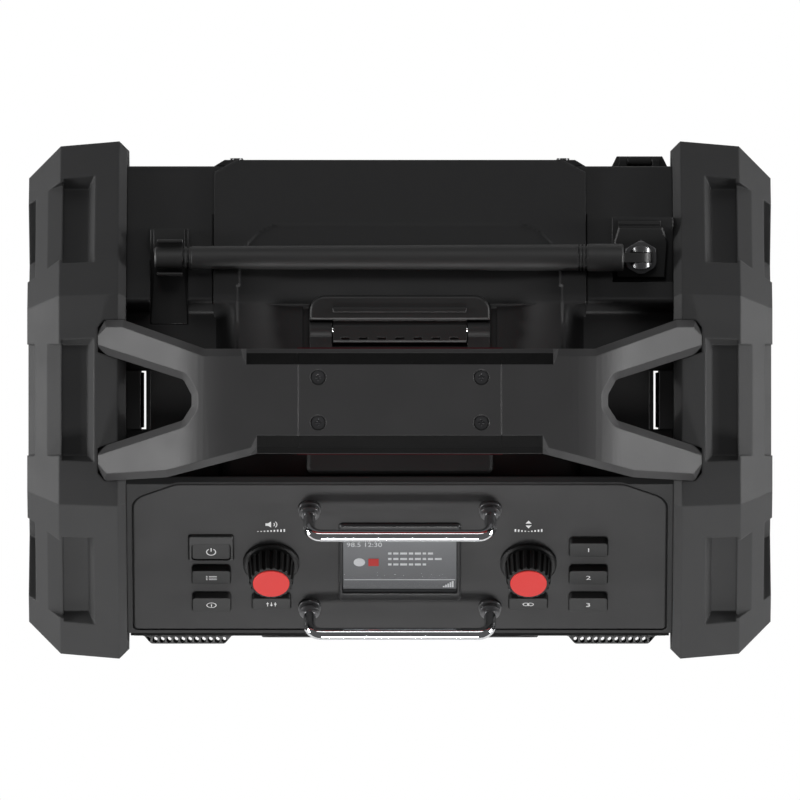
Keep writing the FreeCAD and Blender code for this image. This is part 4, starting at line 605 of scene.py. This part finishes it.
def sheet_rim():
    """The four bars round the perforated field."""
    bm = bmesh.new()
    half = GRILLE_HIGH.x
    tall = GRILLE_HIGH.z - GRILLE_LOW.z
    middle = (GRILLE_LOW.z + GRILLE_HIGH.z) / 2
    rows = (GRILLE_LOW.z + RIM_WIDE / 2, GRILLE_HIGH.z - RIM_WIDE / 2)
    bars = [rect(0, z, 2 * half, RIM_WIDE) for z in rows]
    bars += [rect(side * (half - RIM_WIDE / 2), middle, RIM_WIDE, tall - 2 * RIM_WIDE) for side in (-1, 1)]
    for bar_outline in bars:
        prism(bm, bar_outline, GRILLE_HIGH.y, RIM_FRONT, UPRIGHT)
    return bm


piece("grille_rim", sheet_rim(), "grille_steel", "chassis")

# %% [markdown]
# The display's page lies just under its clear window. It is a thin plate of its own, because the
# display module is a plain block whose glow would otherwise cover its sides as well.

# %% Display page
SCREEN_ROW = panel_row("display_lens")
PAGE_WIDE = 65.4
PAGE_TALL = 49.4
PAGE_DEPTH = -1.0
bm = bmesh.new()
prism(bm, rect(0, 0, PAGE_WIDE, PAGE_TALL), -0.2, 0.2, panel_matrix(0, SCREEN_ROW, PAGE_DEPTH))
piece("screen_page", bm, "screen_image", "chassis")

# %% [markdown]
# Printed figures start as Blender text, which is a curve. It becomes a mesh before it is placed,
# so that the finished piece has its letters as real faces.

# %% Text as a mesh
def text_bm(words, size, thick):
    """Plain characters as a bmesh, centred on the origin, in millimetres."""
    curve = bpy.data.curves.new("print", "FONT")
    curve.body = words
    curve.size = size
    curve.align_x = "CENTER"
    curve.align_y = "CENTER"
    curve.extrude = thick / 2
    temp = bpy.data.objects.new("print", curve)
    bpy.context.scene.collection.objects.link(temp)
    bpy.context.view_layer.update()
    mesh = bpy.data.meshes.new_from_object(temp)
    bm = bmesh.new()
    bm.from_mesh(mesh)
    bpy.data.objects.remove(temp)
    bpy.data.curves.remove(curve)
    bpy.data.meshes.remove(mesh)
    return bm


print("text helper ready")

# %% [markdown]
# The page shows plain marks: a frequency and a time, three lines of dashes, a signal scale, a
# disc and a square. Each is a thin raised shape, which stays sharp at any distance.

# %% Marks on the display
INK = 0.08
MARK_DEPTH = -0.72
FIGURES_AT = (-20.5, 11.8, 0)
FIGURES_SIZE = 4.9
RULE_Y = -16.7
DASH_LEFT = -6.8
DASH_TOP_Y = 4.9
DASH_STEP = 4.5
DASH_TALL = 1.7
DASH_GAP = 1.0
DASH_LINES = (26.0, 29.0, 21.0)
SIGNAL_AT = (25.4, -22.9)
SIGNAL_STEP = 1.3
DISC_AT = (-23.4, -2.4)
DISC_RADIUS = 3.3
SQUARE_AT = (-15.2, -2.4)
SQUARE_SIDE = 6.0


def dashes(bm, y, long, at):
    """A line of dashes of changing length."""
    x = DASH_LEFT
    count = 0
    while x < DASH_LEFT + long:
        wide = 2.0 + (count * 7 % 5) * 0.5
        prism(bm, rect(x + wide / 2, y, wide, DASH_TALL), 0, INK, at)
        x += wide + DASH_GAP
        count += 1


def screen_marks():
    """All the white marks of the page."""
    bm = bmesh.new()
    at = panel_matrix(0, SCREEN_ROW, MARK_DEPTH)
    join_bm(bm, text_bm("98.5 12:30", FIGURES_SIZE, 0.1), at @ Matrix.Translation(FIGURES_AT))
    prism(bm, rect(0, RULE_Y, 64.0, 0.5), 0, INK, at)
    for row, long in enumerate(DASH_LINES):
        dashes(bm, DASH_TOP_Y - row * DASH_STEP, long, at)
    for i in range(5):
        high = 1.1 + i * 1.0
        prism(bm, rect(SIGNAL_AT[0] + i * SIGNAL_STEP, SIGNAL_AT[1] + high / 2, 1.0, high), 0, INK, at)
    angles = [math.tau * k / 32 for k in range(32)]
    disc = [(DISC_AT[0] + DISC_RADIUS * math.cos(a), DISC_AT[1] + DISC_RADIUS * math.sin(a)) for a in angles]
    prism(bm, disc, 0, INK, at)
    return bm


piece("screen_marks", screen_marks(), "print_white", "chassis", smooth=False)
bm = bmesh.new()
prism(bm, rect(*SQUARE_AT, SQUARE_SIDE, SQUARE_SIDE), 0, INK, panel_matrix(0, SCREEN_ROW, MARK_DEPTH + 0.06))
piece("screen_mark_red", bm, "red_plastic", "chassis", smooth=False)

# %% [markdown]
# Behind the handle the real radio has one smooth moulding. It slopes down to the rear from a
# crest, and in front of the crest its shoulders drop into a valley on each side. A height for
# every point of a grid describes such a surface better than any set of solids.

# %% Slope and shoulders of the rear top
COVER_LOW, COVER_HIGH = box_mm("rear_cover")
COVER_HALF = COVER_HIGH.x - 0.45
COVER_REAR = COVER_HIGH.y - 0.7
COVER_FRONT = 22.0
CREST_Y = COVER_LOW.y
CREST_Z = 253.0
CREST_DIP = 0.9
CREST_ROUND = 5.0
RIDGE_FALL = 3.5
RIDGE_LONG = 30.0
FALL = 0.888
VALLEY_Z = 229.6
SHOULDER_X = 95.0
SHOULDER_WIDE = 12.0
SHOULDER_LONG = 9.0


def outer_height(x, y):
    """The moulding's height without its bowl."""
    if y >= CREST_Y:
        return CREST_Z - FALL * (y - CREST_Y) - CREST_DIP * (1 - smooth_step((y - CREST_Y) / CREST_ROUND))
    ahead = CREST_Y - y
    ridge = CREST_Z - CREST_DIP - RIDGE_FALL * smooth_step(ahead / RIDGE_LONG)
    drop = smooth_step(ahead / SHOULDER_LONG) * smooth_step((abs(x) - SHOULDER_X) / SHOULDER_WIDE)
    return ridge - drop * (ridge - VALLEY_Z)


print("crest", round(outer_height(0, CREST_Y), 2), "rear edge", round(outer_height(0, COVER_REAR), 2))

# %% [markdown]
# A wide bowl is sunk in the slope so that fingers reach the compartment. Its rim is a round-cornered
# outline, its floor climbs to the front, and its sides fall in a smooth step after a small sharp
# drop, which draws the rim as a line. In front of the crest it keeps its section.

# %% Bowl in the rear top
BOWL_REAR = 102.2
BOWL_HALF = 92.0
BOWL_CORNER_Y = 76.0
BOWL_CORNER_IN = 28.5
BOWL_SPREAD = 2.0
BOWL_SPREAD_LONG = 20.0
FLOOR_REAR_Z = 211.2
FLOOR_FRONT_Z = 240.8
FLOOR_FRONT_Y = 57.0
FLOOR_CURVE = 1.4
SIDE_WIDE = 34.0
RIM_DROP = 2.0
REAR_RIM_WIDE = 1.2


def bowl_half(y):
    """Half the width inside the bowl's rim, at a depth."""
    if y <= BOWL_CORNER_Y:
        return BOWL_HALF + BOWL_SPREAD * smooth_step((BOWL_CORNER_Y - y) / BOWL_SPREAD_LONG)
    share = min(1.0, (y - BOWL_CORNER_Y) / (BOWL_REAR - BOWL_CORNER_Y))
    return BOWL_HALF - BOWL_CORNER_IN * (1 - math.sqrt(1 - share ** 2))


def floor_height(y):
    """The bowl's floor, which climbs to the front."""
    share = min(1.0, max(0.0, (BOWL_REAR - y) / (BOWL_REAR - FLOOR_FRONT_Y)))
    return FLOOR_REAR_Z + (FLOOR_FRONT_Z - FLOOR_REAR_Z) * (1 - (1 - share) ** FLOOR_CURVE)


def cover_height(x, y):
    """The moulding's height with its bowl."""
    top = outer_height(x, y)
    inside = bowl_half(y) - abs(x)
    if y > BOWL_REAR or inside <= 0:
        return top
    if y < CREST_Y:
        return max(FLOOR_FRONT_Z, cover_height(x, CREST_Y))
    low = min(floor_height(y), top)
    drop = min(RIM_DROP, top - low)
    depth = drop + (top - low - drop) * smooth_step(inside / SIDE_WIDE)
    return top - depth * min(1.0, (BOWL_REAR - y) / REAR_RIM_WIDE)


print("bowl floor at its middle", round(cover_height(0, BOWL_CORNER_Y), 2))

# %% [markdown]
# The surface is a grid whose points are lifted to their height. Pushing the whole grid down with
# extrude gives it an underside and side walls at once. The grid stays open over the lid, the rear
# corners are cut off as on the solid cover, and a plate carries the screws below the slope.

# %% Rear top
LID_CLEAR_X = 55.5
LID_CLEAR_Y = 2.0
CORNER_CUT = 3.6
CORNER_LONG = 6.0
CORNER_RATE = 0.55
SKIN = 2.5
THINNEST = 0.5
UNDER_FRONT_Z = 229.0
UNDER_CREST_Z = 242.0
PLATE_FRONT = 135.4
PLATE_TOP = 178.6
PLATE_PROUD = 0.2
GRID_ACROSS = 179
GRID_STEP = 1.2
GRID_DEEP = int((COVER_REAR - COVER_FRONT) / GRID_STEP)


def surface_point(x, y):
    """A grid point on the moulding, kept inside the cut rear corners."""
    z = cover_height(x, y)
    edge = COVER_REAR - CORNER_CUT - (abs(x) - (COVER_HALF - CORNER_LONG)) * CORNER_RATE
    if y > edge:
        z = min(z, outer_height(x, edge))
        y = edge
    return Vector((x, y, z))


def under_height(y, z):
    """The underside below a point of the surface."""
    under = UNDER_FRONT_Z if y < CREST_Y else min(z - SKIN, UNDER_CREST_Z - FALL * (y - CREST_Y))
    return min(under, z - THINNEST)


def rear_top():
    """The slope with its bowl, and the plate below it."""
    bm = bmesh.new()
    bmesh.ops.create_grid(bm, x_segments=GRID_ACROSS, y_segments=GRID_DEEP, size=1.0)
    for vert in bm.verts:
        vert.co.x *= COVER_HALF
        vert.co.y = COVER_FRONT + (vert.co.y + 1) / 2 * (COVER_REAR - COVER_FRONT)
    over_lid = [v for v in bm.verts if v.co.y < CREST_Y - LID_CLEAR_Y and abs(v.co.x) < LID_CLEAR_X]
    bmesh.ops.delete(bm, geom=over_lid, context="VERTS")
    for vert in bm.verts:
        vert.co = surface_point(vert.co.x, vert.co.y)
    grown = bmesh.ops.extrude_face_region(bm, geom=bm.faces[:])
    for vert in verts_of(grown["geom"]):
        vert.co.z = under_height(vert.co.y, vert.co.z)
    bm.transform(PLAIN)
    back = COVER_REAR + PLATE_PROUD
    corner = COVER_HALF - CORNER_LONG
    plate = [(-COVER_HALF, PLATE_FRONT), (COVER_HALF, PLATE_FRONT), (COVER_HALF, back - CORNER_CUT),
             (corner, back), (-corner, back), (-COVER_HALF, back - CORNER_CUT)]
    prism(bm, plate, COVER_LOW.z, PLATE_TOP, PLAIN)
    return bm


piece("rear_top", rear_top(), "body_plastic", "chassis", ("rear_cover",))

# %% [markdown]
# Beside each fork of the handle is a narrow slot for a strap, through which the floor shows. Two
# ledges on each side close the wider pocket of the housing down to that slot.

# %% Slot ledges
SLOT_HALF_Y = 16.9
LEDGE_LOW = 180.0
LEDGE_TOP = 243.5
LEDGES = ((149.4, 157.9), (143.6, 146.2))
for side, name in ((-1, "left"), (1, "right")):
    bm = bmesh.new()
    for inner, outer in LEDGES:
        ledge = rect(side * (inner + outer) / 2, 0, outer - inner, 2 * SLOT_HALF_Y)
        prism(bm, ledge, LEDGE_LOW, LEDGE_TOP, PLAIN)
    piece("slot_ledge_" + name, bm, "body_plastic", "chassis")

# %% [markdown]
# Along both long edges of the handle's top runs a steep band and, outside it, a shallower strip.
# Both end where the arms bend down. A long bar with the shape of what is missing is made for each
# edge. It changes from one section to another at its ends, where it rises clear of the handle.
# Extrude keeps a section's shape, so here the sections are joined face by face instead.

# %% Bars that carve the handle
HANDLE_TOP = round(box_mm("handle_frame")[1].z, 3)
CLEAR_TOP = HANDLE_TOP + 2.0
REACH = 34.0
BAND_TOP_Y = 20.4
BAND_FOOT = (26.9, 309.4)
OUTSIDE = [(33.0, CLEAR_TOP), (33.0, 320.5), (33.2, 320.0), (33.5, 319.8), (REACH, 319.5), (REACH, CLEAR_TOP)]
HANDLE_EDGES = (
    dict(side=1, strip=(29.6, 307.0), outer_z=304.0, full_x=88.0, end_x=94.0),
    dict(side=-1, strip=(30.6, 305.4), outer_z=303.0, full_x=82.0, end_x=88.0),
)


def carving_bar(side, strip, outer_z, full_x, end_x):
    """The closed bar for one edge of the handle. The rear is side 1 and the front is side -1."""
    full = [(BAND_TOP_Y, CLEAR_TOP), (BAND_TOP_Y, HANDLE_TOP), BAND_FOOT, strip, (REACH, outer_z),
            (REACH, CLEAR_TOP)]
    spans = ((-end_x, OUTSIDE), (-full_x, full), (full_x, full), (end_x, OUTSIDE))
    bm = bmesh.new()
    rings = [[bm.verts.new((x * MM, side * y * MM, z * MM)) for y, z in outline] for x, outline in spans]
    for low, high in zip(rings, rings[1:]):
        for k in range(len(low)):
            j = (k + 1) % len(low)
            bm.faces.new((low[k], low[j], high[j], high[k]))
    bm.faces.new(rings[0][::-1])
    bm.faces.new(rings[-1])
    bmesh.ops.recalc_face_normals(bm, faces=bm.faces[:])
    mesh = bpy.data.meshes.new("carving_bar")
    bm.to_mesh(mesh)
    bm.free()
    obj = bpy.data.objects.new("carving_bar", mesh)
    bpy.context.scene.collection.objects.link(obj)
    return obj


CARVING_BARS = [carving_bar(**values) for values in HANDLE_EDGES]
print("carving bars", len(CARVING_BARS))

# %% [markdown]
# A node's mesh mustn't be changed, so the two upper parts of the handle are copied, merged from
# loose triangles, and carved by boolean modifiers. Applying these at once gives a plain mesh,
# whose steep band can then get its own darker finish. A weighted normal keeps the flats flat.

# %% Carve the handle
WELD = 0.000002
BAND_SPAN = (0.0195, 0.0275)
BAND_LOW_Z = 0.306
STEEP = (0.72, 0.93)
SIDEWAYS = 0.3
FLAT_ANGLE = 0.4
HANDLE_SHARP = 8


def merged_copy(node_name):
    """A node's mesh as a bmesh, with its loose triangles joined."""
    bm = bmesh.new()
    bm.from_mesh(NODES[node_name].data)
    bmesh.ops.remove_doubles(bm, verts=bm.verts[:], dist=WELD)
    return bm


def carved(node_name):
    """A copy of a node with the handle's edges cut away."""
    bm = merged_copy(node_name)
    mesh = bpy.data.meshes.new("carve")
    bm.to_mesh(mesh)
    bm.free()
    temp = bpy.data.objects.new("carve", mesh)
    bpy.context.scene.collection.objects.link(temp)
    for bar_obj in CARVING_BARS:
        cut = temp.modifiers.new("cut", "BOOLEAN")
        cut.operation = "DIFFERENCE"
        cut.object = bar_obj
        cut.solver = "EXACT"
    bpy.context.view_layer.update()
    bm = bmesh.new()
    bm.from_mesh(temp.evaluated_get(bpy.context.evaluated_depsgraph_get()).to_mesh())
    bpy.data.objects.remove(temp)
    bm.normal_update()
    return bm


def in_band(face):
    """Whether a face belongs to one of the two steep bands."""
    middle = face.calc_center_median()
    steep = STEEP[0] < abs(face.normal.y) < STEEP[1] and abs(face.normal.x) < SIDEWAYS and face.normal.z > 0
    return steep and BAND_SPAN[0] < abs(middle.y) < BAND_SPAN[1] and middle.z > BAND_LOW_Z


for node_name in ("handle_frame", "grip_cover"):
    bm = carved(node_name)
    for face in bm.faces:
        face.material_index = 1 if in_band(face) else 0
    bmesh.ops.dissolve_limit(bm, angle_limit=math.radians(FLAT_ANGLE), verts=bm.verts[:], edges=bm.edges[:],
                             delimit={"MATERIAL"})
    made = piece(node_name + "_carved", bm, "handle_plastic", "chassis", (node_name,),
                 angle=HANDLE_SHARP)
    made.data.materials.append(MATS["handle_band"])
    flats = made.modifiers.new("flat_faces", "WEIGHTED_NORMAL")
    flats.keep_sharp = True
    flats.weight = 100
for bar_obj in CARVING_BARS:
    bpy.data.objects.remove(bar_obj)

# %% [markdown]
# The soft red underside of the grip shows from above only as a thin dark line along both edges,
# where it lies in shade. Two narrow lips in a darkened red paint that shade as these lines, and
# the pad itself is the node's mesh, trimmed so that it stays behind them.

# %% Grip lips and pad
LIP_HALF_X = 59.0
LIP_HALF_Y = 0.6
LIP_LOW = 299.5
LIP_HIGH = 302.0
LIPS = {"front": -30.9, "rear": 29.6}
PAD_WIDE_X = 0.0585
PAD_FRONT = (-30.9, -29.8)
PAD_REAR = 28.9
for name, y in LIPS.items():
    bm = bmesh.new()
    prism(bm, rect(0, y, 2 * LIP_HALF_X, 2 * LIP_HALF_Y), LIP_LOW, LIP_HIGH, PLAIN)
    piece("grip_shade_lip_" + name, bm, "red_painted_shade", "chassis")

bm = merged_copy("grip_underside")
for vert in bm.verts:
    front = PAD_FRONT[0] if abs(vert.co.x) < PAD_WIDE_X else PAD_FRONT[1]
    vert.co.y = max(front * MM, min(PAD_REAR * MM, vert.co.y))
piece("grip_pad", bm, "red_plastic", "chassis", ("grip_underside",))

# %% [markdown]
# The guard bars are tubes that stand on turned collars with two rings and a waist. The tubes are
# nodes, so a modifier swells them by the plating, and the collars are spun from half a section.

# %% Guard bars and collars
PLATING = 0.55
BAR_RADIUS = 3.0
COLLAR = [(0.0, 0.15), (6.6, 0.15), (6.6, 1.7), (5.9, 2.3), (5.0, 2.5), (5.0, 3.2), (5.9, 3.5), (5.9, 4.9),
          (4.6, 5.9), (4.0, 6.0), (0.0, 6.0)]
COLLAR_STEPS = 40
for name in ("upper", "lower"):
    tube = name + "_guard_bar"
    grow = NODES[tube].modifiers.new("plating", "DISPLACE")
    grow.strength = PLATING * MM
    grow.mid_level = 0
    leg_x = box_mm("upper_guard_bar")[1].x - BAR_RADIUS
    bm = bmesh.new()
    for side in (-1, 1):
        join_bm(bm, turned(COLLAR, False, 360, COLLAR_STEPS), panel_matrix(side * leg_x, panel_row(tube), 0))
    stands_for = ("bar_collars",) if name == "upper" else ()
    piece("collars_" + name, bm, "dark_steel", "chassis", stands_for)
print("guard bars stand", round(leg_x, 2), "mm from the middle")

# %% [markdown]
# Each button has a plain icon or a number printed in white. A picture could be laid on its face,
# but thin shapes stay sharp at any distance. An icon is a few bars and rings with a trace of
# thickness, like thick ink, and lies a little above the face so that the two surfaces don't fight.

# %% Icons
PRINT_LOW = 0.02
PRINT_HIGH = 0.07
BAND_STEPS = 20
NUMBER_SIZE = 6.2


def bar(bm, x, y, wide, tall, at):
    """A printed rectangle."""
    prism(bm, rect(x, y, wide, tall), PRINT_LOW, PRINT_HIGH, at)


def band(bm, x, y, radius, wide, start, stop, at):
    """A ring, or part of one, between two angles in degrees."""
    inner = radius - wide / 2
    outer = radius + wide / 2
    section = [(inner, PRINT_LOW), (outer, PRINT_LOW), (outer, PRINT_HIGH), (inner, PRINT_HIGH)]
    place = Matrix.Translation((x, y, 0)) @ Matrix.Rotation(math.radians(start), 4, "Z")
    join_bm(bm, turned(section, True, stop - start, BAND_STEPS), at @ place)


def icon_power(bm, at):
    band(bm, 0, -0.2, 2.6, 0.6, 120, 420, at)
    bar(bm, 0, 1.6, 0.6, 2.8, at)


def icon_list(bm, at):
    for y in (-1.8, 0, 1.8):
        bar(bm, 0.9, y, 4.6, 0.55, at)
        bar(bm, -2.6, y, 0.8, 0.8, at)


def icon_info(bm, at):
    band(bm, 0, 0, 2.7, 0.45, 0, 360, at)
    bar(bm, 0, -0.6, 0.6, 2.0, at)
    bar(bm, 0, 1.3, 0.65, 0.65, at)


def icon_tone(bm, at):
    for x, y in ((-2.2, 0.8), (0, -0.9), (2.2, 0.3)):
        bar(bm, x, 0, 0.4, 4.8, at)
        bar(bm, x, y, 1.5, 0.8, at)


def icon_link(bm, at):
    for x in (-1.3, 1.3):
        band(bm, x, 0, 1.7, 0.5, 0, 360, at)


def icon_number(number):
    """A function that draws one number."""
    def draw(bm, at):
        middle = Matrix.Translation((0, 0, (PRINT_LOW + PRINT_HIGH) / 2))
        join_bm(bm, text_bm(number, NUMBER_SIZE, PRINT_HIGH - PRINT_LOW), at @ middle)
    return draw


print("icons ready")

# %% [markdown]
# A printed mark has to move with its button, so each icon is a piece of its own that rides on the
# button's body. The buttons are wedges, so their faces lean more than the panel, by an angle that
# follows from their height and rise. The power button is flat.

# %% Marks on the buttons
WEDGE_RISE = 3.9
WEDGE_MIDDLE = 2.65
SIDE_X = 109.0
KNOB_X = 74.3
ROWS = (68.0, 45.3, 22.9)
SMALL_ROW = 23.6
TALL = 15.0
SMALL_TALL = 13.0
BUTTONS = {
    "power_button": (icon_power, -SIDE_X, 65.2, 1.0, None),
    "source_button": (icon_list, -SIDE_X, ROWS[1], WEDGE_MIDDLE, TALL),
    "info_button": (icon_info, -SIDE_X, ROWS[2], WEDGE_MIDDLE, TALL),
    "tone_button": (icon_tone, -KNOB_X, SMALL_ROW, WEDGE_MIDDLE, SMALL_TALL),
    "link_button": (icon_link, KNOB_X, SMALL_ROW, WEDGE_MIDDLE, SMALL_TALL),
}
for number, row in enumerate(ROWS, 1):
    BUTTONS[f"preset_button_{number}"] = (icon_number(str(number)), SIDE_X, row, WEDGE_MIDDLE, TALL)
for name, (draw, x, v, w, tall) in BUTTONS.items():
    lean = math.atan2(WEDGE_RISE, tall) if tall else 0.0
    bm = bmesh.new()
    draw(bm, panel_matrix(x, v, w, lean))
    piece("print_" + name, bm, "print_white", name, smooth=False)

# %% [markdown]
# Above the left knob is a loudspeaker sign over a growing scale, and above the right knob two
# arrow heads over a scale with a low middle. They stay on the panel, so they are one piece.

# %% Marks on the panel
SIGN_ROW = 86.6
SCALE_ROW = 81.6
SIGN_SIZE = 1.25
SCALE_STEP = 1.9
SCALE_LOWEST = 0.5
SCALE_GROWTH = 0.22
HORN = [(-2.6, -0.8), (-1.4, -0.8), (0, -2.0), (0, 2.0), (-1.4, 0.8), (-2.6, 0.8)]
bm = bmesh.new()
at = panel_matrix(-KNOB_X, SIGN_ROW, 0) @ Matrix.Scale(SIGN_SIZE, 4)
prism(bm, HORN, PRINT_LOW, PRINT_HIGH, at)
for radius in (1.4, 2.5):
    band(bm, 0.2, 0, radius, 0.4, -45, 45, at)
at = panel_matrix(KNOB_X, SIGN_ROW, 0) @ Matrix.Scale(SIGN_SIZE, 4)
for side in (-1, 1):
    prism(bm, [(-1.4, side * 0.6), (1.4, side * 0.6), (0, side * 2.6)], PRINT_LOW, PRINT_HIGH, at)
for side in (-1, 1):
    at = panel_matrix(side * KNOB_X, SCALE_ROW, 0)
    for i in range(9):
        high = SCALE_LOWEST + SCALE_GROWTH * (i if side < 0 else abs(i - 4) * 2)
        bar(bm, (i - 4) * SCALE_STEP, high / 2 - 1, 0.9, high, at)
piece("print_panel", bm, "print_white", "chassis", smooth=False)

# %% [markdown]
# The photograph has a pure white ground. A strong light on a white floor would also wash out the
# radio, so the floor is pale grey to the radio and plain white only to the camera's own rays.

# %% Floor
FLOOR_HALF = 4.0
WHITE = (1, 1, 1, 1)


def floor_material():
    """Pale grey to the radio, plain white to the camera."""
    mat, tree, shader, coords = new_material("studio_floor")
    shader.inputs["Base Color"].default_value = (0.7, 0.7, 0.7, 1)
    shader.inputs["Roughness"].default_value = 0.9
    bump = tree.nodes.new("ShaderNodeBump")
    bump.inputs["Strength"].default_value = 0.02
    tree.links.new(noise_node(tree, coords, 20.0), bump.inputs["Height"])
    tree.links.new(bump.outputs["Normal"], shader.inputs["Normal"])
    seen = tree.nodes.new("ShaderNodeEmission")
    seen.inputs["Color"].default_value = WHITE
    path = tree.nodes.new("ShaderNodeLightPath")
    mix = tree.nodes.new("ShaderNodeMixShader")
    tree.links.new(path.outputs["Is Camera Ray"], mix.inputs["Fac"])
    tree.links.new(shader.outputs["BSDF"], mix.inputs[1])
    tree.links.new(seen.outputs["Emission"], mix.inputs[2])
    tree.links.new(mix.outputs["Shader"], tree.nodes["Material Output"].inputs["Surface"])
    return mat


bm = bmesh.new()
bmesh.ops.create_grid(bm, x_segments=1, y_segments=1, size=FLOOR_HALF)
mesh = bpy.data.meshes.new("studio_floor")
bm.to_mesh(mesh)
bm.free()
mesh.materials.append(floor_material())
floor = bpy.data.objects.new("studio_floor", mesh)
bpy.context.scene.collection.objects.link(floor)
print("floor", 2 * FLOOR_HALF, "m wide")

# %% [markdown]
# The world does the same beyond the floor: white to the camera, and a weak grey to everything
# else, which fills the shadows so that black plastic keeps its form.

# %% World
world = bpy.data.worlds.new("studio")
bpy.context.scene.world = world
world.use_nodes = True
tree = world.node_tree
path = tree.nodes.new("ShaderNodeLightPath")
tint = tree.nodes.new("ShaderNodeMix")
tint.data_type = "RGBA"
tint.inputs["A"].default_value = (0.10, 0.10, 0.103, 1)
tint.inputs["B"].default_value = WHITE
tree.links.new(path.outputs["Is Camera Ray"], tint.inputs["Factor"])
tree.links.new(tint.outputs["Result"], tree.nodes["Background"].inputs["Color"])
print("world", world.name)

# %% [markdown]
# A light is easiest to set by where it comes from. The key light stands low in front, so the
# panel is bright and the bars throw shadows up the slope. A low light on each side catches the
# guards' outer edges, and a weak one behind keeps the rear slope from going black.

# %% Lights
TARGET = Vector((0, -0.03, 0.2))


def light(name, azimuth, elevation, distance, size, watts):
    """An area light facing the radio. Azimuth is in degrees from +X towards +Y."""
    data = bpy.data.lights.new(name, "AREA")
    data.shape = "RECTANGLE"
    data.size, data.size_y = size
    data.energy = watts
    a = math.radians(azimuth)
    e = math.radians(elevation)
    way = Vector((math.cos(a) * math.cos(e), math.sin(a) * math.cos(e), math.sin(e)))
    facing = way.to_track_quat("Z", "Y").to_matrix().to_4x4()
    obj = bpy.data.objects.new(name, data)
    obj.matrix_world = Matrix.Translation(TARGET + way * distance) @ facing
    bpy.context.scene.collection.objects.link(obj)
    print("light", name, watts, "W")


light("key_front", -90, 24, 3.0, (0.42, 0.42), 50)
light("side_left", 180, 13, 2.2, (1.2, 0.4), 52)
light("side_right", 0, 13, 2.2, (1.2, 0.4), 50)
light("rear_soft", 90, 50, 2.6, (1.8, 0.9), 12)

# %% [markdown]
# The photograph looks straight down and shows almost no perspective. A camera far away with a
# long lens gives that, and its lens follows from how wide the picture is at the radio.

# %% Camera
DISTANCE = 15.0
SPAN = 0.4624
SENSOR = 36.0
AIM_X = 0.0001
AIM_Z = 0.2
data = bpy.data.cameras.new("camera")
data.sensor_width = SENSOR
data.lens = SENSOR * DISTANCE / SPAN
data.clip_end = 60.0
camera = bpy.data.objects.new("camera", data)
camera.location = (AIM_X, 0.0, AIM_Z + DISTANCE)
scene = bpy.context.scene
scene.collection.objects.link(camera)
scene.camera = camera
scene.render.resolution_x = 800
scene.render.resolution_y = 800
scene.view_settings.view_transform = "Standard"
print("lens", round(data.lens, 1), "mm")
